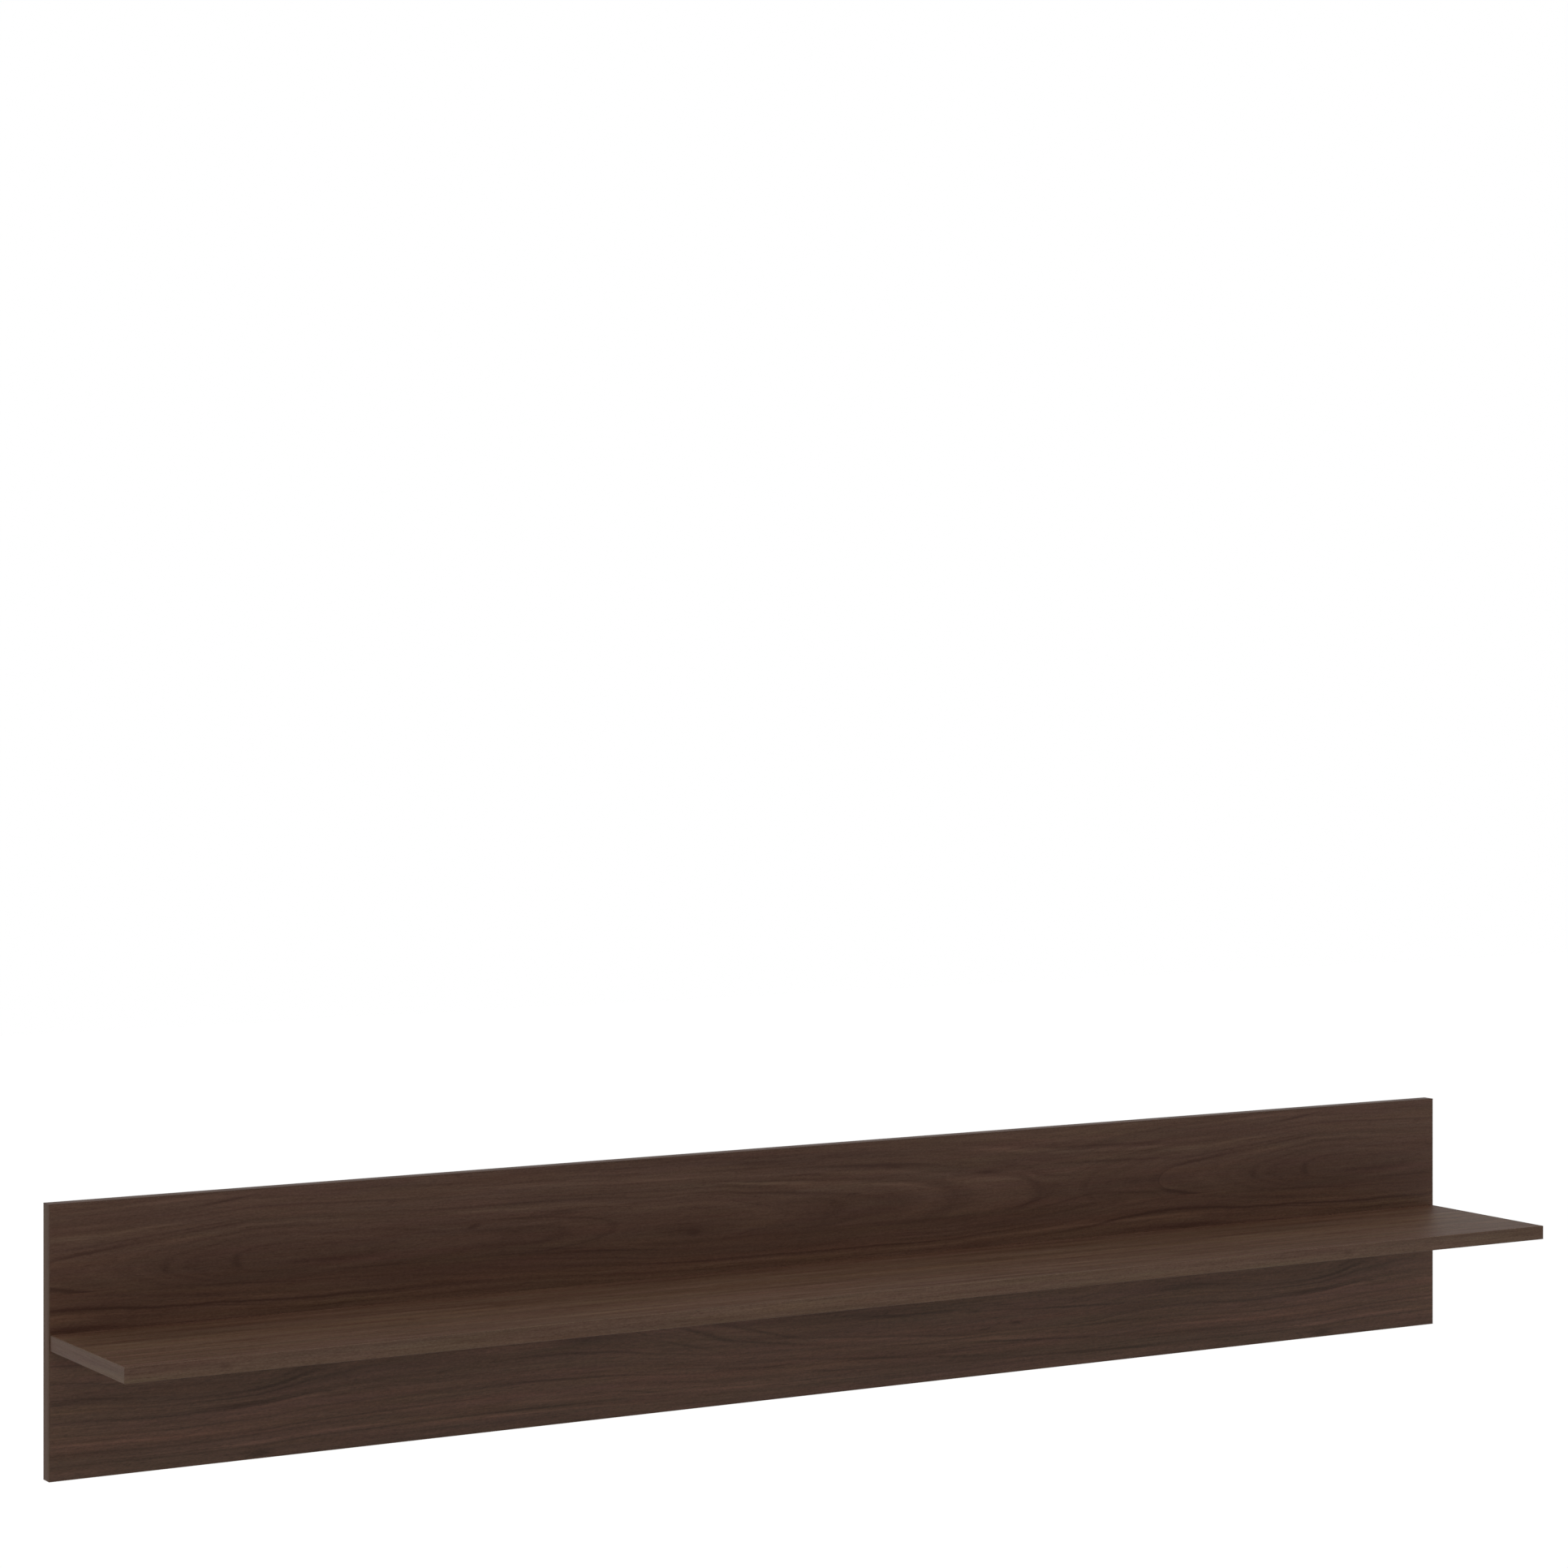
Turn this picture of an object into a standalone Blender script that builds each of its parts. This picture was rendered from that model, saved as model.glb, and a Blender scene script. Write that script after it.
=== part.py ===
"""Wall shelf: a back panel that hangs flat on the wall, and one shelf board that stands out from it.

Metres, +Z up. The origin is the middle of the back panel's rear face, which lies in the wall
plane y = 0. The shelf stands out towards -Y, and +X is on the right of a person who faces it.
"""

import math

import bmesh
import bpy

# Boards
PANEL_LENGTH = 1.800
PANEL_HEIGHT = 0.280
PANEL_THICKNESS = 0.016
SHELF_END_INSET = 0.0015
SHELF_DEPTH = 0.204
SHELF_THICKNESS = 0.016
SHELF_MIDDLE_ABOVE_BASE = 0.140

# Edge bands
BAND_THICKNESS = 0.001
BAND_ARRIS_RADIUS = 0.0005
BAND_ARRIS_STEPS = 2

# Screws that hold the shelf board to the back panel
CONNECTOR_COUNT = 6
CONNECTOR_FROM_SHELF_END = 0.060
CONNECTOR_LENGTH = 0.050
CONNECTOR_HEAD_DIAMETER = 0.010
CONNECTOR_HEAD_RIM = 0.0008
CONNECTOR_NECK_DIAMETER = 0.0064
CONNECTOR_NECK_LENGTH = 0.014
CONNECTOR_THREAD_DIAMETER = 0.007
CONNECTOR_TIP_DIAMETER = 0.0036
CONNECTOR_TIP_LENGTH = 0.004
CONNECTOR_SOCKET_WIDTH = 0.004
CONNECTOR_SOCKET_DEPTH = 0.003

# Dowels beside those screws
DOWEL_FROM_CONNECTOR = 0.032
DOWEL_DIAMETER = 0.008
DOWEL_LENGTH = 0.030
DOWEL_IN_PANEL = 0.010
DOWEL_CHAMFER = 0.001

# Keyhole hanger plates, let into the rear face
HANGER_COUNT = 4
HANGER_FROM_PANEL_END = 0.150
HANGER_BELOW_PANEL_TOP = 0.045
HANGER_LENGTH = 0.052
HANGER_WIDTH = 0.016
HANGER_THICKNESS = 0.002
HANGER_ENTRY_DIAMETER = 0.010
HANGER_ENTRY_BELOW_MIDDLE = 0.006
HANGER_SLOT_WIDTH = 0.005
HANGER_SLOT_TRAVEL = 0.014
HANGER_CAVITY_WIDTH = 0.013
HANGER_CAVITY_DEPTH = 0.009

# Screws of the hanger plates
HANGER_SCREW_SPACING = 0.040
HANGER_SCREW_LENGTH = 0.012
HANGER_SCREW_HEAD_DIAMETER = 0.006
HANGER_SCREW_HEAD_RIM = 0.0003
HANGER_SCREW_SHANK_DIAMETER = 0.003
HANGER_SCREW_TIP_DIAMETER = 0.0006
HANGER_SCREW_TIP_LENGTH = 0.003
HANGER_SCREW_RECESS_SPAN = 0.0034
HANGER_SCREW_RECESS_WIDTH = 0.0009
HANGER_SCREW_RECESS_DEPTH = 0.0013

# Clearance round every piece that seats on, or in, another
CLEARANCE = 0.0003
# How far a cutter reaches out of the face that it opens
CUTTER_OVERRUN = 0.002

# Sides of a turned piece and of a rounded outline
TURNED_SIDES = 24
SMALL_TURNED_SIDES = 16
HALF_CIRCLE_STEPS = 10
# Angle above which an edge of a turned piece stays sharp
SHARP_ANGLE = math.radians(30)

SHELF_LENGTH = PANEL_LENGTH - 2 * SHELF_END_INSET
SHELF_MIDDLE = SHELF_MIDDLE_ABOVE_BASE - PANEL_HEIGHT / 2
HANGER_MIDDLE = PANEL_HEIGHT / 2 - HANGER_BELOW_PANEL_TOP
DOWEL_START = PANEL_THICKNESS - DOWEL_IN_PANEL


def clear_scene():
    for thing in list(bpy.data.objects):
        bpy.data.objects.remove(thing)


def make_material(name, colour, roughness, metallic=0.0):
    material = bpy.data.materials.new(name)
    material.use_nodes = True
    shader = material.node_tree.nodes["Principled BSDF"]
    shader.inputs["Base Color"].default_value = (*colour, 1.0)
    shader.inputs["Roughness"].default_value = roughness
    shader.inputs["Metallic"].default_value = metallic
    return material


def make_empty(name, rotation):
    empty = bpy.data.objects.new(name, None)
    empty.rotation_euler = rotation
    bpy.context.scene.collection.objects.link(empty)
    return empty


def make_object(name, shape, location=(0, 0, 0), parent=None, material=None):
    """Turns a bmesh into an object at its place and frees the bmesh."""
    mesh = bpy.data.meshes.new(name)
    shape.to_mesh(mesh)
    shape.free()
    if material:
        mesh.materials.append(material)
    thing = bpy.data.objects.new(name, mesh)
    thing.location = location
    thing.parent = parent
    bpy.context.scene.collection.objects.link(thing)
    return thing


def cut(target, cutters):
    """Takes every cutter out of the target with one exact Boolean."""
    group = bpy.data.collections.new(target.name + "_cuts")
    bpy.context.scene.collection.children.link(group)
    for cutter in cutters:
        group.objects.link(cutter)
        cutter.hide_render = True
        cutter.display_type = "WIRE"
    boolean = target.modifiers.new("cuts", "BOOLEAN")
    boolean.operation = "DIFFERENCE"
    boolean.solver = "EXACT"
    boolean.operand_type = "COLLECTION"
    boolean.collection = group


def block(length, depth, height):
    """A box round its own middle: length along X, depth along Y, height along Z."""
    shape = bmesh.new()
    bmesh.ops.create_cube(shape, size=1.0)
    bmesh.ops.scale(shape, vec=(length, depth, height), verts=shape.verts)
    return shape


def turned(profile, sides):
    """A solid turned about Z from (radius, depth) points that start and end on the axis."""
    shape = bmesh.new()
    points = [shape.verts.new((radius, 0, depth)) for radius, depth in profile]
    edges = [shape.edges.new(pair) for pair in zip(points, points[1:])]
    bmesh.ops.spin(
        shape,
        geom=points + edges,
        cent=(0, 0, 0),
        axis=(0, 0, 1),
        angle=math.tau,
        steps=sides,
        use_merge=True,
    )
    bmesh.ops.remove_doubles(shape, verts=shape.verts, dist=1e-6)
    bmesh.ops.recalc_face_normals(shape, faces=shape.faces)
    return shape


def shade_turned(thing):
    thing.data.shade_smooth()
    thing.data.set_sharp_from_angle(angle=SHARP_ANGLE)


def bore_profile(profile):
    """The hole that a turned piece slides into with clearance, open at the piece's first end."""
    hole = []
    widest = 0.0
    for radius, depth in reversed(profile[1:-1]):
        widest = max(widest, radius + CLEARANCE)
        hole.append((widest, depth))
    bottom = profile[-1][1] + CLEARANCE
    mouth = profile[0][1] - CUTTER_OVERRUN
    hole[0] = (hole[0][0], bottom)
    hole[-1] = (hole[-1][0], mouth)
    return [(0, mouth)] + hole[::-1] + [(0, bottom)]


def arc(middle, radius, start, end, steps=HALF_CIRCLE_STEPS):
    """Points of an arc about (0, middle), from the start angle to the end angle."""
    turns = [start + (end - start) * step / steps for step in range(steps + 1)]
    return [(radius * math.cos(turn), middle + radius * math.sin(turn)) for turn in turns]


def slot_outline(width, low, high):
    """A slot with round ends, whose end circles lie at heights low and high."""
    return arc(high, width / 2, 0, math.pi) + arc(low, width / 2, math.pi, math.tau)


def keyhole_outline():
    """The round entry and the narrower slot that rises from it."""
    entry = HANGER_ENTRY_DIAMETER / 2
    slot = HANGER_SLOT_WIDTH / 2
    low = -HANGER_ENTRY_BELOW_MIDDLE
    corner = math.acos(slot / entry)
    lower = arc(low, entry, math.pi - corner, math.tau + corner, 2 * HALF_CIRCLE_STEPS)
    return arc(low + HANGER_SLOT_TRAVEL, slot, 0, math.pi) + lower


def prism(outline, start, end):
    """An outline in X and Y, extruded along Z from start to end."""
    shape = bmesh.new()
    corners = [shape.verts.new((x, y, start)) for x, y in outline]
    base = shape.faces.new(corners)
    raised = bmesh.ops.extrude_face_region(shape, geom=[base])["geom"]
    raised_corners = [part for part in raised if isinstance(part, bmesh.types.BMVert)]
    bmesh.ops.translate(shape, vec=(0, 0, end - start), verts=raised_corners)
    bmesh.ops.recalc_face_normals(shape, faces=shape.faces)
    return shape


def spread(count, half_span):
    """Even places from -half_span to +half_span."""
    return [half_span * (2 * index / (count - 1) - 1) for index in range(count)]


def make_band(name, low, high, outward, whole_ends, material, parent):
    """An edge band between two corners, its outer arrises rounded.

    outward is the axis that it faces, 0, 1 or 2, and its sign. The arrises of its two ends are
    rounded too where whole_ends is true, as on a band that covers the ends of its neighbours.
    """
    size = [top - bottom for bottom, top in zip(low, high)]
    middle = [(top + bottom) / 2 for bottom, top in zip(low, high)]
    shape = block(*size)
    axis, sign = outward
    along = size.index(max(size))
    outer_edges = []
    for edge in shape.edges:
        on_outer_face = all(corner.co[axis] * sign > 0 for corner in edge.verts)
        runs_along = edge.verts[0].co[along] != edge.verts[1].co[along]
        if on_outer_face and (runs_along or whole_ends):
            outer_edges.append(edge)
    bmesh.ops.bevel(
        shape,
        geom=outer_edges,
        offset=BAND_ARRIS_RADIUS,
        offset_type="OFFSET",
        segments=BAND_ARRIS_STEPS,
        profile=0.5,
        affect="EDGES",
    )
    return make_object(name, shape, middle, parent, material)


def make_panel(board_material, band_material, parent):
    """The back panel's board, which leaves room for its bands, and the four bands."""
    half_length = PANEL_LENGTH / 2
    half_height = PANEL_HEIGHT / 2
    core_half_length = half_length - BAND_THICKNESS - CLEARANCE
    core_half_height = half_height - BAND_THICKNESS - CLEARANCE
    front = -PANEL_THICKNESS
    board = block(2 * core_half_length, PANEL_THICKNESS, 2 * core_half_height)
    panel = make_object("back_panel", board, (0, front / 2, 0), parent, board_material)
    for side, sign in (("top", 1), ("bottom", -1)):
        heights = sorted((sign * half_height, sign * (half_height - BAND_THICKNESS)))
        low = (-half_length, front, heights[0])
        high = (half_length, 0, heights[1])
        name = "back_panel_band_" + side
        make_band(name, low, high, (2, sign), True, band_material, parent)
    for side, sign in (("left", -1), ("right", 1)):
        ends = sorted((sign * half_length, sign * (half_length - BAND_THICKNESS)))
        low = (ends[0], front, -core_half_height)
        high = (ends[1], 0, core_half_height)
        name = "back_panel_band_" + side
        make_band(name, low, high, (0, sign), False, band_material, parent)
    return panel


def make_shelf(board_material, band_material, parent):
    """The shelf board, which leaves room for its bands, and the three bands.

    Its rear edge butts on the panel and has no band.
    """
    half_length = SHELF_LENGTH / 2
    core_half_length = half_length - BAND_THICKNESS - CLEARANCE
    rear = -PANEL_THICKNESS - CLEARANCE
    front = -PANEL_THICKNESS - SHELF_DEPTH
    core_front = front + BAND_THICKNESS + CLEARANCE
    below = SHELF_MIDDLE - SHELF_THICKNESS / 2
    above = SHELF_MIDDLE + SHELF_THICKNESS / 2
    board = block(2 * core_half_length, rear - core_front, SHELF_THICKNESS)
    middle = (0, (rear + core_front) / 2, SHELF_MIDDLE)
    shelf = make_object("shelf_board", board, middle, parent, board_material)
    low = (-half_length, front, below)
    high = (half_length, front + BAND_THICKNESS, above)
    name = "shelf_board_band_front"
    make_band(name, low, high, (1, -1), True, band_material, parent)
    for side, sign in (("left", -1), ("right", 1)):
        ends = sorted((sign * half_length, sign * (half_length - BAND_THICKNESS)))
        low = (ends[0], core_front, below)
        high = (ends[1], rear, above)
        name = "shelf_board_band_" + side
        make_band(name, low, high, (0, sign), False, band_material, parent)
    return shelf


def connector_profile():
    head = CONNECTOR_HEAD_DIAMETER / 2
    neck = CONNECTOR_NECK_DIAMETER / 2
    thread = CONNECTOR_THREAD_DIAMETER / 2
    shoulder = CONNECTOR_NECK_LENGTH + thread - neck
    return [
        (0, 0),
        (head, 0),
        (head, CONNECTOR_HEAD_RIM),
        (neck, CONNECTOR_HEAD_RIM + head - neck),
        (neck, CONNECTOR_NECK_LENGTH),
        (thread, shoulder),
        (thread, CONNECTOR_LENGTH - CONNECTOR_TIP_LENGTH),
        (CONNECTOR_TIP_DIAMETER / 2, CONNECTOR_LENGTH),
        (0, CONNECTOR_LENGTH),
    ]


def dowel_profile():
    radius = DOWEL_DIAMETER / 2
    return [
        (0, 0),
        (radius - DOWEL_CHAMFER, 0),
        (radius, DOWEL_CHAMFER),
        (radius, DOWEL_LENGTH - DOWEL_CHAMFER),
        (radius - DOWEL_CHAMFER, DOWEL_LENGTH),
        (0, DOWEL_LENGTH),
    ]


def hanger_screw_profile():
    head = HANGER_SCREW_HEAD_DIAMETER / 2
    shank = HANGER_SCREW_SHANK_DIAMETER / 2
    return [
        (0, 0),
        (head, 0),
        (head, HANGER_SCREW_HEAD_RIM),
        (shank, HANGER_SCREW_HEAD_RIM + head - shank),
        (shank, HANGER_SCREW_LENGTH - HANGER_SCREW_TIP_LENGTH),
        (HANGER_SCREW_TIP_DIAMETER / 2, HANGER_SCREW_LENGTH),
        (0, HANGER_SCREW_LENGTH),
    ]


def hexagon(width):
    """The corners of a hexagon of that width across its flats."""
    radius = width / math.sqrt(3)
    turns = [math.radians(60 * side) for side in range(6)]
    return [(radius * math.cos(turn), radius * math.sin(turn)) for turn in turns]


def cross(span, width):
    """The twelve corners of a cross whose arms have that span and width."""
    far = span / 2
    near = width / 2
    quarter = [(far, -near), (far, near), (near, near)]
    corners = []
    for turn in range(4):
        angle = turn * math.pi / 2
        for x, y in quarter:
            turned_x = x * math.cos(angle) - y * math.sin(angle)
            turned_y = x * math.sin(angle) + y * math.cos(angle)
            corners.append((turned_x, turned_y))
    return corners


def make_connectors(steel, rear_face):
    """The screws driven from behind, sunk a clearance deep; returns the bores that they need."""
    bores = []
    half_span = SHELF_LENGTH / 2 - CONNECTOR_FROM_SHELF_END
    for number, x in enumerate(spread(CONNECTOR_COUNT, half_span), start=1):
        place = (x, SHELF_MIDDLE, CLEARANCE)
        screw = turned(connector_profile(), TURNED_SIDES)
        screw = make_object(f"connecting_screw_{number}", screw, place, rear_face, steel)
        shade_turned(screw)
        socket = hexagon(CONNECTOR_SOCKET_WIDTH)
        socket = prism(socket, -CUTTER_OVERRUN, CONNECTOR_SOCKET_DEPTH)
        cut(screw, [make_object(f"cut_socket_{number}", socket, place, rear_face)])
        bore = turned(bore_profile(connector_profile()), TURNED_SIDES)
        bores.append(make_object(f"cut_connector_{number}", bore, place, rear_face))
    return bores


def grown_dowel_profile():
    """The blind hole round a whole dowel, which crosses the joint between the boards."""
    radius = DOWEL_DIAMETER / 2 + CLEARANCE
    bottom = DOWEL_LENGTH + CLEARANCE
    return [(0, -CLEARANCE), (radius, -CLEARANCE), (radius, bottom), (0, bottom)]


def make_dowels(wood, rear_face):
    """A dowel beside each screw, towards the shelf's middle; returns the holes that they need."""
    holes = []
    half_span = SHELF_LENGTH / 2 - CONNECTOR_FROM_SHELF_END
    for number, x in enumerate(spread(CONNECTOR_COUNT, half_span), start=1):
        inward = -math.copysign(DOWEL_FROM_CONNECTOR, x)
        place = (x + inward, SHELF_MIDDLE, DOWEL_START)
        dowel = turned(dowel_profile(), TURNED_SIDES)
        shade_turned(make_object(f"dowel_{number}", dowel, place, rear_face, wood))
        hole = turned(grown_dowel_profile(), TURNED_SIDES)
        holes.append(make_object(f"cut_dowel_{number}", hole, place, rear_face))
    return holes


def make_hanger_screw(name, place, steel, rear_face):
    """One countersunk screw with its cross recess; returns the hole that it needs."""
    screw = turned(hanger_screw_profile(), SMALL_TURNED_SIDES)
    screw = make_object(name, screw, place, rear_face, steel)
    shade_turned(screw)
    recess = cross(HANGER_SCREW_RECESS_SPAN, HANGER_SCREW_RECESS_WIDTH)
    recess = prism(recess, -CUTTER_OVERRUN, HANGER_SCREW_RECESS_DEPTH)
    cut(screw, [make_object("cut_recess_" + name, recess, place, rear_face)])
    hole = turned(bore_profile(hanger_screw_profile()), SMALL_TURNED_SIDES)
    return make_object("cut_hole_" + name, hole, place, rear_face)


def make_hangers(steel, rear_face):
    """The hanger plates and their screws; returns the pockets and holes that the panel needs."""
    panel_cuts = []
    plate_reach = (HANGER_LENGTH - HANGER_WIDTH) / 2
    pocket_depth = CLEARANCE + HANGER_THICKNESS + CLEARANCE
    entry = -HANGER_ENTRY_BELOW_MIDDLE
    seat = entry + HANGER_SLOT_TRAVEL
    plate_outline = slot_outline(HANGER_WIDTH, -plate_reach, plate_reach)
    pocket_outline = slot_outline(HANGER_WIDTH + 2 * CLEARANCE, -plate_reach, plate_reach)
    cavity_outline = slot_outline(HANGER_CAVITY_WIDTH, entry, seat)
    half_span = PANEL_LENGTH / 2 - HANGER_FROM_PANEL_END
    for number, x in enumerate(spread(HANGER_COUNT, half_span), start=1):
        place = (x, HANGER_MIDDLE, 0)
        plate = prism(plate_outline, CLEARANCE, CLEARANCE + HANGER_THICKNESS)
        plate = make_object(f"hanger_plate_{number}", plate, place, rear_face, steel)
        screw_holes = []
        for side, sign in (("upper", 1), ("lower", -1)):
            screw_name = f"hanger_screw_{number}_{side}"
            screw_place = (x, HANGER_MIDDLE + sign * HANGER_SCREW_SPACING / 2, CLEARANCE)
            screw_holes.append(make_hanger_screw(screw_name, screw_place, steel, rear_face))
        keyhole = prism(keyhole_outline(), -CUTTER_OVERRUN, HANGER_CAVITY_DEPTH)
        keyhole = make_object(f"cut_keyhole_{number}", keyhole, place, rear_face)
        cut(plate, [keyhole] + screw_holes)
        pocket = prism(pocket_outline, -CUTTER_OVERRUN, pocket_depth)
        pocket = make_object(f"cut_pocket_{number}", pocket, place, rear_face)
        cavity = prism(cavity_outline, -CUTTER_OVERRUN, HANGER_CAVITY_DEPTH)
        cavity = make_object(f"cut_cavity_{number}", cavity, place, rear_face)
        panel_cuts += [pocket, cavity] + screw_holes
    return panel_cuts


clear_scene()
walnut_board = make_material("walnut_board", (0.080, 0.042, 0.027), 0.42)
walnut_band = make_material("walnut_band", (0.080, 0.044, 0.029), 0.38)
zinc_steel = make_material("zinc_plated_steel", (0.50, 0.515, 0.535), 0.34, 1.0)
beech = make_material("beech", (0.56, 0.39, 0.235), 0.6)

wall_shelf = make_empty("wall_shelf", (0, 0, 0))
# In the rear face's own axes X runs along the panel, Y up it and Z from the wall into the boards
rear_face_axes = make_empty("rear_face_axes", (math.pi / 2, 0, 0))
rear_face_axes.parent = wall_shelf

back_panel = make_panel(walnut_board, walnut_band, wall_shelf)
shelf_board = make_shelf(walnut_board, walnut_band, wall_shelf)
connector_bores = make_connectors(zinc_steel, rear_face_axes)
dowel_holes = make_dowels(beech, rear_face_axes)
hanger_cuts = make_hangers(zinc_steel, rear_face_axes)
cut(back_panel, connector_bores + dowel_holes + hanger_cuts)
cut(shelf_board, connector_bores + dowel_holes)
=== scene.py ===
# Wall shelf in dark walnut-look board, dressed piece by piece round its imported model.
# Metres, +Z up: X runs along the shelf, Y into the wall, and the wall plane is y = 0.
import math

import bmesh
import bpy
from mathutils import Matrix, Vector


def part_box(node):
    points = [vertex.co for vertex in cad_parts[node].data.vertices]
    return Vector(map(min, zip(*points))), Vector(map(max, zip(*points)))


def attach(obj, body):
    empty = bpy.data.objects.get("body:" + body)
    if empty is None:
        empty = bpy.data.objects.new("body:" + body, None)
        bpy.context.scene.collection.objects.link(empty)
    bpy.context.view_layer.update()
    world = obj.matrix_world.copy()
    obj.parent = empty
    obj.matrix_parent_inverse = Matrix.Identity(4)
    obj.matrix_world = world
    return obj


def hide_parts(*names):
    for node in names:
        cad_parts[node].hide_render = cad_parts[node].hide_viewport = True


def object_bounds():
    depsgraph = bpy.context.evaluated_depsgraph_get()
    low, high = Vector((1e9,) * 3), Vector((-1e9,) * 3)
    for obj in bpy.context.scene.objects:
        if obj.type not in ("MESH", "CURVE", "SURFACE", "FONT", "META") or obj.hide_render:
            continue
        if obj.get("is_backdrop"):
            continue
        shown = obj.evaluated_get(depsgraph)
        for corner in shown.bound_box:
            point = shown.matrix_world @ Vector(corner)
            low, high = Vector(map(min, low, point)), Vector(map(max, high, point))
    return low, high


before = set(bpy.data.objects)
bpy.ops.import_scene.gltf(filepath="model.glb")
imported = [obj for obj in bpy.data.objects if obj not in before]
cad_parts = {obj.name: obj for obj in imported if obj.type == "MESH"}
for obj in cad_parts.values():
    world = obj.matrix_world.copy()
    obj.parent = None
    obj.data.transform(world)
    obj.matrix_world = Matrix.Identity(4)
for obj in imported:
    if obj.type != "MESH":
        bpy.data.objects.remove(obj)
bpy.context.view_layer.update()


# Back panel board
# A 16 mm chipboard faced on both sides with paper that is printed with dark walnut and pressed on
# hot. It is sawn to size, bored for its screws and dowels, and routed from behind for its hangers.
MM = 0.001
GLUE_LINE = 0.1 * MM
BORE_CLEARANCE = 0.3 * MM
CUTTER_OVERRUN = 2 * MM
SCREW_NUMBERS = range(1, 7)
HANGER_NUMBERS = range(1, 5)
THREAD_DIAMETER = 7 * MM
HEAD_DIAMETER = 10 * MM
HEAD_RIM = 0.8 * MM
POCKET_DEPTH = 2.6 * MM
KEYHOLE_CAVITY_DIAMETER = 13 * MM
KEYHOLE_CAVITY_DEPTH = 9 * MM
KEYHOLE_ENTRY_BELOW_MIDDLE = 6 * MM
KEYHOLE_TRAVEL = 14 * MM
PLATE_SCREW_SPACING = 40 * MM
PLATE_SCREW_DIAMETER = 3 * MM
PLATE_SCREW_HEAD = 6 * MM
PLATE_SCREW_RIM = 0.3 * MM
ROUND_SIDES = 48

# The print goes round a cylinder, so it comes again after this length, and shows four sawn strips
PRINT_REPEAT = 1395 * MM
PRINT_WIDTH = 560 * MM
STRIP_SEAMS = (92 * MM, 150 * MM, 320 * MM)
PITH_REACH = 62 * MM
# For each strip, in millimetres: how far down the print its pith runs; where along the print the
# pith lies how deep under the face, which draws the arches and loops; and its marked year rings,
# as (middle along, half length, distance from the pith, half width, how much darker)
STRIPS = (
    (72.5,
     ((0, 40), (60, 37), (122, 30.7), (165, 26), (200, 21.4), (250, 16.5), (300, 20.5), (380, 26),
      (450, 29.3), (520, 29.5), (560, 29.8), (586, 30.8), (640, 33), (700, 35), (760, 34),
      (820, 38), (890, 41.5), (948, 44), (1012, 46.4), (1060, 50), (1110, 54), (1180, 56.5),
      (1226, 59.6), (1300, 52), (1378, 42.7)),
     ((140, 90, 30.7, 0.8, 0.19), (540, 70, 30.7, 0.8, 0.25), (225, 50, 21.4, 0.8, 0.19),
      (200, 110, 35.6, 0.8, 0.20), (270, 90, 39.4, 1.2, -0.26), (90, 110, 46.3, 0.9, 0.34),
      (520, 190, 46.3, 1.2, 0.44), (860, 150, 46.3, 0.9, 0.32), (520, 160, 42, 1.4, -0.26),
      (1000, 105, 64, 1.5, 0.50), (860, 100, 54.2, 0.9, 0.34), (925, 30, 44, 0.8, 0.24),
      (1200, 45, 59.6, 0.9, 0.32), (45, 60, 42.7, 0.9, 0.32),
      (250, 400, 26, 2.5, 0.07), (100, 60, 52.5, 1.2, -0.30), (300, 160, 56, 1, 0.24))),
    (45,
     ((0, 61), (130, 55), (210, 53), (300, 50.5), (430, 50), (500, 49), (620, 40), (760, 25),
      (890, 24), (1000, 22), (1060, 18), (1120, 27), (1200, 36), (1260, 44), (1300, 50.5),
      (1350, 57.5)),
     ((180, 300, 88, 1.1, 0.52), (180, 250, 84.6, 1.2, -0.20), (190, 300, 92.5, 1.2, -0.26),
      (840, 300, 77, 1.1, 0.38), (1000, 290, 81.5, 1.2, -0.18), (600, 150, 84.5, 1.6, -0.22),
      (700, 300, 71, 1, 0.18), (1395, 120, 88, 1.2, 0.30), (900, 300, 85.5, 0.9, 0.22))),
    (172,
     ((0, 30), (150, 22), (300, 38), (450, 44), (600, 44), (700, 34), (800, 18), (900, 9),
      (1100, 6), (1250, 10)),
     ((40, 60, 39.5, 2.2, 0.20), (200, 190, 48.3, 0.9, 0.38), (250, 60, 43.7, 0.9, 0.36),
      (90, 150, 58, 0.8, 0.22), (290, 120, 60.4, 2, -0.24), (150, 260, 71, 1, 0.38),
      (600, 200, 74.8, 1, 0.38), (90, 150, 79, 1.6, -0.28), (130, 200, 87.4, 1, 0.40),
      (600, 120, 55.2, 0.9, 0.38), (200, 180, 66.5, 1.2, -0.16), (330, 150, 83.5, 0.8, 0.30),
      (1200, 230, 59, 0.9, 0.20), (230, 200, 95, 1.4, -0.26), (330, 260, 98.5, 0.9, 0.26))),
    (700,
     ((0, 20), (350, 40), (700, 25), (1050, 45)),
     ()),
)
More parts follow.
